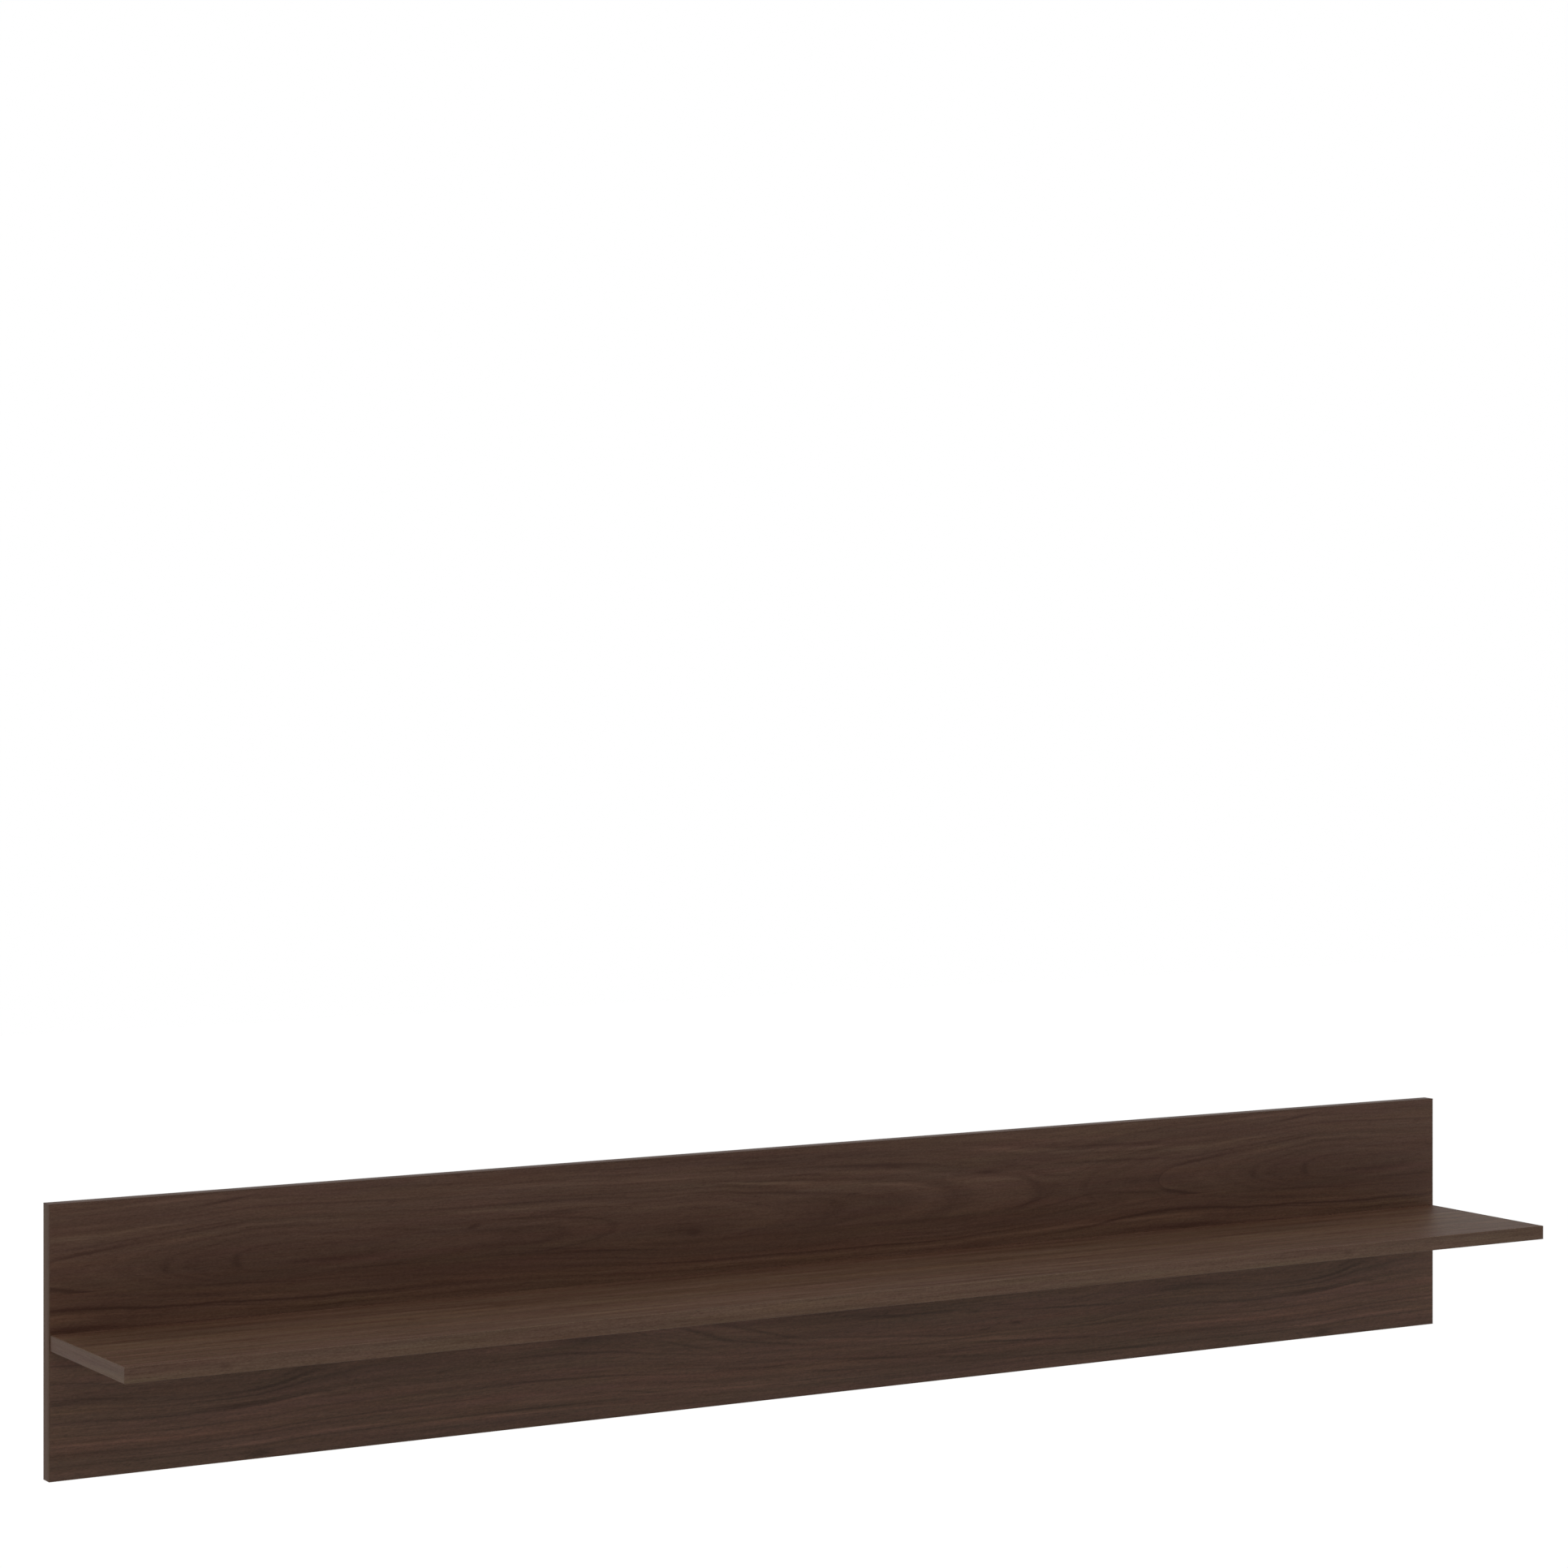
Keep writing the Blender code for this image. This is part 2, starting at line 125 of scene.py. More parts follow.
# Knots, smudges and single streaks, as (middle along, middle down, half length, half height, how
# much they fall over their length, how much darker)
MARKS = (
    (475, 58, 7, 2.1, -0.25, 0.55), (745, 84, 8, 3.2, 0, 0.42), (742, 82, 30, 8, 0, 0.22),
    (955, 57.5, 8, 1.2, 0, 0.34), (1135, 45.5, 18, 2.4, 0, 0.55), (1008, 31, 14, 2, 0.1, 0.26),
    (302, 79, 45, 2.3, 0, 0.34), (125, 74, 5, 5, 0, 0.26), (204, 73, 5, 7, 0, 0.30),
    (1360, 70, 60, 5.5, 0, 0.24), (62, 66, 10, 5, -0.6, 0.16), (400, 60.5, 45, 0.7, 0, 0.24),
    (60, 23, 95, 2.2, -0.045, 0.26), (190, 10, 34, 1.3, -0.12, 0.40),
    (150, 6, 75, 1.6, -0.04, -0.30), (20, 37, 38, 2.6, -0.03, -0.30),
    (560, 20, 150, 3.4, 0.025, -0.26), (720, 25.5, 70, 1.4, 0.02, -0.3),
    (850, 39, 75, 2.4, 0.055, -0.32), (990, 49, 60, 1.8, 0.09, -0.36),
    (1050, 57, 30, 1.2, 0.2, -0.26), (830, 20, 60, 1.1, 0.01, 0.34),
    (600, 33.5, 170, 0.8, 0.03, 0.24), (1165, 21, 60, 2.8, 0.09, -0.36),
    (1310, 31, 90, 1.8, 0.02, -0.28), (1150, 54, 48, 4, 0.04, -0.32),
    (1290, 25, 85, 1.6, 0.03, 0.38), (1300, 44, 90, 1.4, 0.02, 0.38),
    (1193, 85.5, 28, 1.1, -0.22, 0.34), (1255, 85, 38, 1.3, -0.15, 0.36),
    (1350, 84, 50, 1.8, 0.06, 0.38), (8, 86, 24, 1.5, 0.15, 0.40), (370, 91, 60, 0.8, 0.02, 0.26),
    (756, 59, 26, 0.9, 0.02, 0.24), (620, 96.5, 85, 1.4, 0.05, 0.34), (560, 88, 70, 1, 0.08, 0.24),
    (20, 119, 34, 2.4, 0.02, -0.34), (1290, 117, 130, 1.7, -0.02, -0.30),
    (40, 127, 60, 2.4, 0, 0.30), (613, 192, 32, 7.5, 0, 0.30), (737, 210, 34, 1.3, 0.25, 0.30),
    (765, 201, 32, 2.4, 0.32, 0.42), (840, 216, 62, 1.5, 0.13, 0.42),
    (832, 203, 46, 1.4, 0.24, 0.42), (985, 222, 120, 1.1, 0.08, 0.30),
    (1010, 248, 130, 1.4, 0.075, 0.38), (1190, 244, 200, 1.1, 0.055, 0.34),
    (1270, 265, 130, 1.3, 0.02, 0.38), (985, 199, 60, 1.9, 0.09, 0.32),
    (1066, 201, 34, 1.5, 0.02, 0.34), (1116, 205, 11, 2, 0, 0.36),
    (1248, 210.5, 78, 1.2, 0.035, 0.52), (1175, 223, 8, 1.9, 0, 0.60),
    (1335, 234, 60, 1.4, 0, 0.36), (1170, 240, 75, 2, 0.03, -0.26),
    (1010, 227, 115, 1.9, 0.07, -0.26), (780, 261, 140, 1.3, 0.03, -0.30),
    (520, 264, 95, 1.3, 0.01, -0.28), (550, 260, 115, 1.3, 0, 0.36), (228, 275, 14, 4, 0, 0.45),
    (106, 441, 6, 2.5, 0, 0.34), (1206, 459, 62, 2.2, 0, -0.32), (1311, 467, 32, 2.6, 0, 0.28),
    (1186, 470, 40, 3, 0, 0.16), (1206, 488, 60, 2.4, 0, -0.22), (41, 491, 130, 2.4, 0, -0.20),
    (1266, 530, 50, 2.6, 0.07, 0.22), (1176, 526, 45, 3, 0, -0.18), (311, 506, 80, 2.6, 0, -0.24),
    (291, 518, 80, 2.6, 0, 0.22), (321, 486, 60, 2.4, 0, -0.18), (611, 399, 55, 2.6, 0.04, -0.20),
    (601, 409, 55, 3.5, 0, 0.16), (581, 464, 52, 2.4, 0, 0.30), (571, 474, 60, 2.4, 0, -0.22),
    (676, 532, 50, 2.4, 0, 0.24), (791, 523, 150, 3, 0, -0.22), (851, 488, 110, 3, 0, -0.22),
    (831, 429, 50, 2.6, 0.05, 0.24), (1026, 489, 80, 2.4, 0, -0.24), (1061, 506, 80, 3.4, 0, 0.18),
    (1001, 528, 60, 3, 0, -0.20), (136, 403, 45, 3, 0.05, -0.16), (1186, 426, 45, 5, 0, -0.16),
    (420, 437, 70, 3, 0.02, 0.14), (560, 405, 330, 50, 0, -0.055), (1290, 405, 130, 50, 0, 0.05),
    (660, 99, 330, 8, 0, 0.09), (1330, 99, 130, 9, 0, -0.11), (290, 30, 120, 9, 0, 0.08),
    (600, 50, 130, 9, 0, 0.06), (225, 50, 90, 9, 0, -0.05), (990, 201, 110, 10, 0, 0.08),
    (520, 200, 70, 9, 0, -0.07),
)
# How much of the fibres shows through a mark
MARK_FIBRES = 1.3

# The grain in layers of noise: lumps to the metre along the print, lumps to the metre across it,
# seed, detail and roughness. The seed moves on by SEED_STEP from one strip to the next
LAYERS = {
    "wander": (9.0, 22.0, 1.7, 2.0, 0.5),
    "tremble": (45.0, 80.0, 4.2, 2.0, 0.5),
    "late wood": (2.0, 110.0, 6.1, 1.0, 0.5),
    "late wood gaps": (6.0, 60.0, 8.8, 2.0, 0.5),
    "broad": (2.2, 75.0, 2.5, 1.0, 0.5),
    "streaks": (4.5, 270.0, 3.1, 2.0, 0.55),
    "fibres": (20.0, 520.0, 13.3, 3.0, 0.6),
    "pores": (110.0, 950.0, 5.7, 1.0, 0.5),
    "grit": (330.0, 1000.0, 16.9, 1.0, 0.5),
    "shade": (1.3, 9.0, 11.9, 1.0, 0.5),
}
BLOTCHES = (7.0, 110.0, 20.4, 3.0, 0.6)
SEED_STEP = 7.3
WANDER_REACH = 2.2 * MM
TREMBLE_REACH = 0.5 * MM
LATE_WOOD_WIDTH = 0.05
# How much each layer lightens the tone, or darkens it where the share is below nothing
TONE_SHARES = (
    ("broad", 0.30), ("streaks", 0.40), ("fibres", 0.26), ("shade", 0.14), ("late wood", -0.28),
    ("grit", 0.36), ("pores", -0.22),
)
MIDDLE_TONE = 0.52
WALNUT = (0.084, 0.0435, 0.0275)
# The tone's darkest, middle and lightest colour, by how much lighter than walnut their green is,
# and how far red and blue follow it
LIGHTER = (-0.5, 0.0, 0.6)
FOLLOWING = (0.78, 1.0, 1.1)
HUE_MIDDLE = 0.88
HUE_REACH = 0.24
THIRD_STRIP_REDDER = 0.27
# How strong the figure of each strip is, and how they differ in colour: (down, share of walnut).
# The tints are partly each strip's own print tone and partly painted shading: they darken the
# panel just above the shelf with painted shade, and lighten the shelf top next to the panel with
# painted light
STRIP_FIGURE = (1.0, 1.0, 0.92, 1.5)
STRIP_TINTS_AND_PAINTED_SHADING = (
    (0, (0.853, 0.832, 0.825)),
    (24, (0.828, 0.80, 0.785)),
    (50, (0.885, 0.856, 0.84)),
    (72, (0.812, 0.753, 0.712)),
    (91.5, (0.76, 0.68, 0.622)),
    (92.5, (0.69, 0.594, 0.516)),
    (108, (0.711, 0.621, 0.561)),
    (122, (0.844, 0.765, 0.685)),
    (149.5, (0.844, 0.765, 0.685)),
    (150.5, (0.98, 0.978, 0.995)),
    (210, (0.938, 0.952, 0.957)),
    (244, (1.0, 0.975, 0.972)),
    (272, (0.893, 0.909, 0.928)),
    (319.5, (0.96, 0.985, 1.01)),
    (320.5, (1.19, 1.175, 1.14)),
    (341, (1.19, 1.175, 1.14)),
    (355, (1.15, 1.17, 1.165)),
    (378, (1.05, 1.10, 1.075)),
    (407, (0.955, 1.005, 0.985)),
    (430, (1.0, 1.065, 1.01)),
    (462, (0.947, 0.995, 0.98)),
    (495, (0.985, 1.04, 1.02)),
    (559.5, (0.985, 1.04, 1.02)),
)


def block(name, low, high):
    """A box between two corners, with its place kept in its mesh."""
    bpy.ops.object.select_all(action="DESELECT")
    low, high = Vector(low), Vector(high)
    bpy.ops.mesh.primitive_cube_add(size=1, location=(low + high) / 2, scale=high - low)
    bpy.context.object.name = name
    bpy.ops.object.transform_apply()
    return bpy.context.object


def turned(name, x, z, rings, sides=ROUND_SIDES, spin=0.0):
    """A disc pulled out along Y, ring by ring; each ring is (y, radius)."""
    (y, radius), *others = rings
    bpy.ops.object.select_all(action="DESELECT")
    bpy.ops.mesh.primitive_circle_add(
        vertices=sides,
        radius=radius,
        fill_type="NGON",
        location=(x, y, z),
        rotation=(math.pi / 2, spin, 0),
    )
    bpy.context.object.name = name
    bpy.ops.object.transform_apply()
    bpy.ops.object.mode_set(mode="EDIT")
    for next_y, next_radius in others:
        bpy.ops.mesh.extrude_region_move(TRANSFORM_OT_translate={"value": (0, next_y - y, 0)})
        share = next_radius / radius
        bpy.ops.transform.resize(value=(share, 1, share), center_override=(x, next_y, z))
        y, radius = next_y, next_radius
    bpy.ops.mesh.select_all(action="SELECT")
    bpy.ops.mesh.normals_make_consistent(inside=False)
    bpy.ops.object.mode_set(mode="OBJECT")
    return bpy.context.object


def choose_corners(piece, wanted):
    """Goes to edit mode and selects the corners of a piece whose places are wanted."""
    bpy.ops.object.mode_set(mode="EDIT")
    mesh = bmesh.from_edit_mesh(piece.data)
    for vertex in mesh.verts:
        vertex.select_set(wanted(vertex.co))
    bmesh.update_edit_mesh(piece.data)


def routed(name, diameter, x, low, high, rings):
    """A turned shape pulled apart into a slot whose end circles lie at heights low and high."""
    middle = (low + high) / 2
    rings = [(y, diameter / 2) for y in rings]
    piece = turned(name, x, middle, rings, ROUND_SIDES, math.pi / ROUND_SIDES)
    for side in (1, -1):
        choose_corners(piece, lambda place: (place.z - middle) * side > 0)
        bpy.ops.transform.translate(value=(0, 0, side * (high - low) / 2))
    bpy.ops.object.mode_set(mode="OBJECT")
    return piece


def combine(piece, other, operation="DIFFERENCE", solver="MANIFOLD"):
    """Cuts, joins or crosses a piece with another shape, which is then thrown away. The manifold
    solver keeps steel closed, and the exact one carries materials into a cut."""
    boolean = piece.modifiers.new("combine", "BOOLEAN")
    boolean.object = other
    boolean.operation = operation
    boolean.solver = solver
    boolean.material_mode = "TRANSFER"
    bpy.context.view_layer.objects.active = piece
    bpy.ops.object.modifier_apply(modifier=boolean.name)
    bpy.data.objects.remove(other)


def settle(piece, node):
    """Puts a finished piece in the place of its solid."""
    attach(piece, "root")
    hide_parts(node)


def feed(tree, socket, value):
    """Links a socket to another one, or sets its number."""
    if isinstance(value, bpy.types.NodeSocket):
        tree.links.new(value, socket)
    else:
        socket.default_value = value


def set_inputs(node, settings):
    """Sets a node's sockets by name."""
    for label, value in settings.items():
        node.inputs[label].default_value = value


def fed_node(tree, kind, values, operation=None):
    """A new node whose first sockets are fed in turn."""
    node = tree.nodes.new("ShaderNode" + kind)
    if operation:
        node.operation = operation
    for socket, value in zip(node.inputs, values):
        feed(tree, socket, value)
    return node


def maths(tree, operation, *values):
    """The result of a Math node on sockets or numbers."""
    return fed_node(tree, "Math", values, operation).outputs[0]


def vector_maths(tree, operation, *values):
    """The result of a Vector Math node on sockets or vectors."""
    node = fed_node(tree, "VectorMath", values, operation)
    return node.outputs["Value" if operation == "DOT_PRODUCT" else "Vector"]


def vector_of(tree, x, y, z):
    """A vector from three sockets or numbers."""
    return fed_node(tree, "CombineXYZ", (x, y, z)).outputs[0]


def noise_node(tree, vector, seed, detail, roughness):
    """A Noise node whose lumps are one unit wide, and which differs with its seed."""
    node = tree.nodes.new("ShaderNodeTexNoise")
    node.noise_dimensions = "4D"
    tree.links.new(vector, node.inputs["Vector"])
    feed(tree, node.inputs["W"], seed)
    set_inputs(node, {"Scale": 1.0, "Detail": detail, "Roughness": roughness})
    return node


def noise(tree, vector, seed=0.0, detail=2.0, roughness=0.5):
    """Noise from -1 to 1, mostly within half of that."""
    node = noise_node(tree, vector, seed, detail, roughness)
    return maths(tree, "MULTIPLY_ADD", node.outputs["Fac"], 2.0, -1.0)


def rescale(tree, value, low, high, new_low=0.0, new_high=1.0):
    """A smooth step from one range to another."""
    node = fed_node(tree, "MapRange", (value, low, high, new_low, new_high))
    node.interpolation_type = "SMOOTHSTEP"
    return node.outputs[0]


def choose(tree, share, first, second):
    """The first number where the share is 0, and the second where it is 1."""
    node = tree.nodes.new("ShaderNodeMix")
    feed(tree, node.inputs["Factor"], share)
    feed(tree, node.inputs["A"], first)
    feed(tree, node.inputs["B"], second)
    return node.outputs["Result"]


def tinted(tree, colour, tint):
    """A colour taken times another one."""
    node = tree.nodes.new("ShaderNodeMix")
    node.data_type = "RGBA"
    node.blend_type = "MULTIPLY"
    node.inputs[0].default_value = 1.0
    tree.links.new(colour, node.inputs[6])
    tree.links.new(tint, node.inputs[7])
    return node.outputs[2]


def ramp(tree, value, stops):
    """A colour ramp through (place, colour) stops."""
    node = tree.nodes.new("ShaderNodeValToRGB")
    elements = node.color_ramp.elements
    while len(elements) < len(stops):
        elements.new(0.5)
    for element, (place, colour) in zip(elements, stops):
        element.position = place
        element.color = (*colour, 1.0)
    tree.links.new(value, node.inputs["Fac"])
    return node.outputs["Color"]


def new_group(name, inputs, outputs):
    """A node group with its tree, its inputs and its outputs, each given as (name, kind)."""
    tree = bpy.data.node_groups.new(name, "ShaderNodeTree")
    for label, kind in inputs:
        tree.interface.new_socket(label, in_out="INPUT", socket_type="NodeSocket" + kind)
    for label, kind in outputs:
        tree.interface.new_socket(label, in_out="OUTPUT", socket_type="NodeSocket" + kind)
    given = tree.nodes.new("NodeGroupInput").outputs
    wanted = tree.nodes.new("NodeGroupOutput").inputs
    return tree, given, wanted


def pith_depth(tree, share, points):
    """A curve along the print, the same at both its ends, of how deep the pith lies."""
    repeat = PRINT_REPEAT / MM
    before = [(along - repeat, depth) for along, depth in points[-2:]]
    after = [(along + repeat, depth) for along, depth in points[:2]]
    points = (*before, *points, *after)
    first, last = points[0][0], points[-1][0]
    node = tree.nodes.new("ShaderNodeFloatCurve")
    curve = node.mapping.curves[0]
    for number, (along, depth) in enumerate(points):
        place = ((along - first) / (last - first), depth * MM / PITH_REACH)
        if number < 2:
            curve.points[number].location = place
        else:
            curve.points.new(*place)
    node.mapping.update()
    stretch = repeat / (last - first)
    place = maths(tree, "MULTIPLY_ADD", share, stretch, -first / (last - first))
    feed(tree, node.inputs["Value"], place)
    return maths(tree, "MULTIPLY", node.outputs[0], PITH_REACH)


def darkened(tree, tone, places, mark):
    """A tone with one soft mark laid on it. The third part of each place is 1, and the second
    place counts along from the middle of the print, for marks that lie near its ends."""
    along, across, half_length, half_height, fall, darker = [part * MM for part in mark]
    fall = fall / MM
    place = places[0]
    if not PRINT_REPEAT / 4 < along < PRINT_REPEAT * 3 / 4:
        place = places[1]
        along = (along + PRINT_REPEAT / 2) % PRINT_REPEAT - PRINT_REPEAT / 2
    weights = (1 / half_length, 0, -along / half_length)
    x = vector_maths(tree, "DOT_PRODUCT", place, weights)
    weights = (-fall / half_height, 1 / half_height, (fall * along - across) / half_height)
    y = vector_maths(tree, "DOT_PRODUCT", place, weights)
    reach = maths(tree, "MULTIPLY_ADD", y, y, maths(tree, "MULTIPLY", x, x))
    strength = maths(tree, "POWER", math.exp(-1), reach)
    return maths(tree, "MULTIPLY_ADD", strength, -darker / MM, tone)


def walnut_print_group():
    """The walnut print: from places along and down it, in metres, to colour, gloss and relief."""
    tree, given, wanted = new_group(
        "walnut print",
        (
            ("Along", "Float"), ("Down", "Float"), ("Figure", "Float"), ("Gloss", "Float"),
            ("Tint", "Color"),
        ),
        (("Color", "Color"), ("Gloss", "Float"), ("Height", "Float")),
    )
    turns = maths(tree, "DIVIDE", given["Along"], PRINT_REPEAT)
    share = maths(tree, "FRACT", turns)
    angle = maths(tree, "MULTIPLY", turns, math.tau)
    round_x = maths(tree, "COSINE", angle)
    round_y = maths(tree, "SINE", angle)
    down_share = maths(tree, "FRACT", maths(tree, "DIVIDE", given["Down"], PRINT_WIDTH))
    down = maths(tree, "MULTIPLY", down_share, PRINT_WIDTH)
    past = [maths(tree, "GREATER_THAN", down, seam) for seam in STRIP_SEAMS]
    strip = maths(tree, "ADD", maths(tree, "ADD", past[0], past[1]), past[2])
    strip_seed = maths(tree, "MULTIPLY", strip, SEED_STEP)

    def rolled(lumps_along, across, lumps_across):
        """Places on the print's cylinder, scaled to so many lumps to the metre each way."""
        radius = lumps_along * PRINT_REPEAT / math.tau
        return vector_of(
            tree,
            maths(tree, "MULTIPLY", round_x, radius),
            maths(tree, "MULTIPLY", round_y, radius),
            maths(tree, "MULTIPLY", across, lumps_across),
        )

    def layer(name, across):
        """One layer of the grain, which differs from strip to strip."""
        lumps_along, lumps_across, seed, detail, roughness = LAYERS[name]
        place = rolled(lumps_along, across, lumps_across)
        return noise(tree, place, maths(tree, "ADD", strip_seed, seed), detail, roughness)

    along = maths(tree, "MULTIPLY", share, PRINT_REPEAT)
    late_half = maths(tree, "GREATER_THAN", share, 0.5)
    round_end = maths(tree, "MULTIPLY_ADD", late_half, -PRINT_REPEAT, along)
    sway = maths(tree, "MULTIPLY", layer("wander", down), WANDER_REACH)
    sway = maths(tree, "MULTIPLY_ADD", layer("tremble", down), TREMBLE_REACH, sway)

    # Each strip's year rings lie round its pith, and the marked ones are darkened along a stretch
    ring = None
    marked = None
    for number, (pith_line, points, rings) in enumerate(STRIPS):
        across = maths(tree, "SUBTRACT", down, pith_line * MM)
        depth = pith_depth(tree, share, points)
        depth_squared = maths(tree, "MULTIPLY", depth, depth)
        squares = maths(tree, "MULTIPLY_ADD", across, across, depth_squared)
        strip_ring = maths(tree, "ADD", maths(tree, "SQRT", squares), sway)
        places = [vector_of(tree, start, strip_ring, 1.0) for start in (along, round_end)]
        strip_tone = 0.0
        for middle, half_length, distance, half_width, darker in rings:
            mark = (middle, distance, half_length, half_width, 0, darker)
            strip_tone = darkened(tree, strip_tone, places, mark)
        ring = strip_ring if number == 0 else choose(tree, past[number - 1], ring, strip_ring)
        marked = strip_tone if number == 0 else choose(tree, past[number - 1], marked, strip_tone)

    # Thin dark lines where year rings end, broad figure, and straight fibres over all of it
    late_lines = maths(tree, "ABSOLUTE", layer("late wood", ring))
    late_lines = rescale(tree, late_lines, 0.0, LATE_WOOD_WIDTH, 1.0, 0.0)
    late_stretches = rescale(tree, layer("late wood gaps", ring), -0.2, 0.3)
    fibres = layer("fibres", down)
    grain = {
        "broad": layer("broad", ring),
        "streaks": layer("streaks", ring),
        "fibres": fibres,
        "shade": layer("shade", down),
        "late wood": maths(tree, "MULTIPLY", late_lines, late_stretches),
        "grit": layer("grit", down),
        "pores": rescale(tree, layer("pores", down), 0.05, 0.45),
    }
    across = maths(tree, "MULTIPLY_ADD", sway, 0.5, down)
    places = [vector_of(tree, start, across, 1.0) for start in (along, round_end)]
    for mark in MARKS:
        marked = darkened(tree, marked, places, mark)
    through = maths(tree, "MULTIPLY_ADD", fibres, MARK_FIBRES, 1.0)
    tone = maths(tree, "MULTIPLY", marked, through)
    for name, lighter in TONE_SHARES:
        tone = maths(tree, "MULTIPLY_ADD", grain[name], lighter, tone)
    strength = given["Figure"]
    for number, step in enumerate(past):
        change = STRIP_FIGURE[number + 1] / STRIP_FIGURE[number] - 1
        strength = maths(tree, "MULTIPLY", strength, maths(tree, "MULTIPLY_ADD", step, change, 1.0))
    tone = maths(tree, "MULTIPLY", tone, strength)
    stops = []
    for place, lighter in zip((0.0, 0.5, 1.0), LIGHTER):
        colour = [part * (1 + follows * lighter) for part, follows in zip(WALNUT, FOLLOWING)]
        stops.append((place, colour))
    colour = ramp(tree, maths(tree, "ADD", tone, MIDDLE_TONE), stops)
    # The strip tints, with painted shade on the panel above the shelf and painted light on the
    # shelf top by the panel
    tint_and_shading_stops = [(down_at * MM / PRINT_WIDTH, tint) for down_at, tint in STRIP_TINTS_AND_PAINTED_SHADING]
    colour = tinted(tree, colour, ramp(tree, down_share, tint_and_shading_stops))

    # Small blotches of another hue, and dark lines that are greyer in the third strip
    third_strip = maths(tree, "SUBTRACT", past[1], past[2])
    redder = maths(tree, "MULTIPLY", tone, third_strip)
    redder = maths(tree, "MULTIPLY_ADD", redder, THIRD_STRIP_REDDER, HUE_MIDDLE)
    lumps_along, lumps_across, *kind = BLOTCHES
    blotches = noise_node(tree, rolled(lumps_along, down, lumps_across), *kind).outputs["Color"]
    middle_hue = vector_of(tree, redder, HUE_MIDDLE, HUE_MIDDLE)
    hue = vector_maths(tree, "MULTIPLY_ADD", blotches, (HUE_REACH,) * 3, middle_hue)
    colour = tinted(tree, colour, hue)
    tree.links.new(tinted(tree, colour, given["Tint"]), wanted["Color"])
    sheen = rescale(tree, fibres, -0.8, 0.8, 0.85, 1.15)
    tree.links.new(maths(tree, "MULTIPLY", given["Gloss"], sheen), wanted["Gloss"])
    tree.links.new(rescale(tree, fibres, -1.0, 1.0), wanted["Height"])
    return tree


walnut_print = walnut_print_group()
PAPER_ROUGHNESS = 0.8
SATIN_ROUGHNESS = 0.45
FOIL_GLOSS = 0.33
EMBOSS_DEPTH = 0.05 * MM


def start_material(name, settings):
    """A new material, its tree, and its Principled shader with these settings."""
    material = bpy.data.materials.new(name)
    material.use_nodes = True
    shader = material.node_tree.nodes["Principled BSDF"]
    set_inputs(shader, settings)
    return material, material.node_tree, shader


def relief(tree, shader, height, strength, depth):
    """Raises the surface by a height from 0 to 1 of this depth."""
    bump = tree.nodes.new("ShaderNodeBump")
    set_inputs(bump, {"Strength": strength, "Distance": depth})
    tree.links.new(height, bump.inputs["Height"])
    tree.links.new(bump.outputs["Normal"], shader.inputs["Normal"])


def foil_material(name, cut, gloss=FOIL_GLOSS, tint=(1.0, 1.0, 1.0), figure=1.0):
    """Foil with this cut of the walnut print, under a satin seal."""
    material, tree, shader = start_material(name, {
        "Roughness": PAPER_ROUGHNESS,
        "Specular IOR Level": 0.0,
        "Coat Roughness": SATIN_ROUGHNESS,
    })
    grain = tree.nodes.new("ShaderNodeGroup")
    grain.node_tree = walnut_print
    set_inputs(grain, {"Figure": figure, "Gloss": gloss, "Tint": (*tint, 1.0)})
    place = tree.nodes.new("ShaderNodeTexCoord").outputs["Object"]
    for label, (*shares, start) in zip(("Along", "Down"), cut):
        distance = vector_maths(tree, "DOT_PRODUCT", place, shares)
        tree.links.new(maths(tree, "ADD", distance, start), grain.inputs[label])
    tree.links.new(grain.outputs["Color"], shader.inputs["Base Color"])
    tree.links.new(grain.outputs["Gloss"], shader.inputs["Coat Weight"])
    relief(tree, shader, grain.outputs["Height"], 0.3, EMBOSS_DEPTH)
    return material


# A cut of the print: how far along it and how far down it a place lies, each as shares of x, y
# and z and a start. The front and rear of the panel show cuts that lie 30 thicknesses apart
PANEL_CUT = ((1, 30, 0, 1380 * MM), (0, 0, -1, 140 * MM))
CHIPS_PER_METRE = (450, 1200, 560)
CHIP_SIZES = (1.0, 3.1)
FINE_CHIP_SHARE = 0.45
CHIP_TONES = ((0.1, (0.22, 0.125, 0.065)), (0.5, (0.45, 0.31, 0.18)), (0.9, (0.64, 0.49, 0.33)))
CORE_ROUGHNESS = 0.85
CORE_DEPTH = 0.3 * MM


def stretched(tree, lumps):
    """Places on the piece, scaled to so many lumps to the metre along X, Y and Z."""
    mapping = tree.nodes.new("ShaderNodeMapping")
    set_inputs(mapping, {"Scale": lumps})
    place = tree.nodes.new("ShaderNodeTexCoord").outputs["Object"]
    tree.links.new(place, mapping.inputs["Vector"])
    return mapping.outputs["Vector"]


def chipboard_material():
    """Raw core: pressed wood chips of many tones, flat along the board, in pale glue."""
    material, tree, shader = start_material("chipboard_core", {"Roughness": CORE_ROUGHNESS})
    flat = stretched(tree, CHIPS_PER_METRE)
    tones = []
    for fineness in CHIP_SIZES:
        chips = tree.nodes.new("ShaderNodeTexVoronoi")
        set_inputs(chips, {"Scale": fineness})
        tree.links.new(flat, chips.inputs["Vector"])
        chip = fed_node(tree, "SeparateColor", (chips.outputs["Color"],))
        tones.append(chip.outputs[0])
    grit = noise(tree, flat, 0.0, 4.0, 0.7)
    tone = choose(tree, FINE_CHIP_SHARE, *tones)
    tone = maths(tree, "MULTIPLY_ADD", grit, 0.5, tone)
    tree.links.new(ramp(tree, tone, CHIP_TONES), shader.inputs["Base Color"])
    relief(tree, shader, tone, 0.8, CORE_DEPTH)
    return material


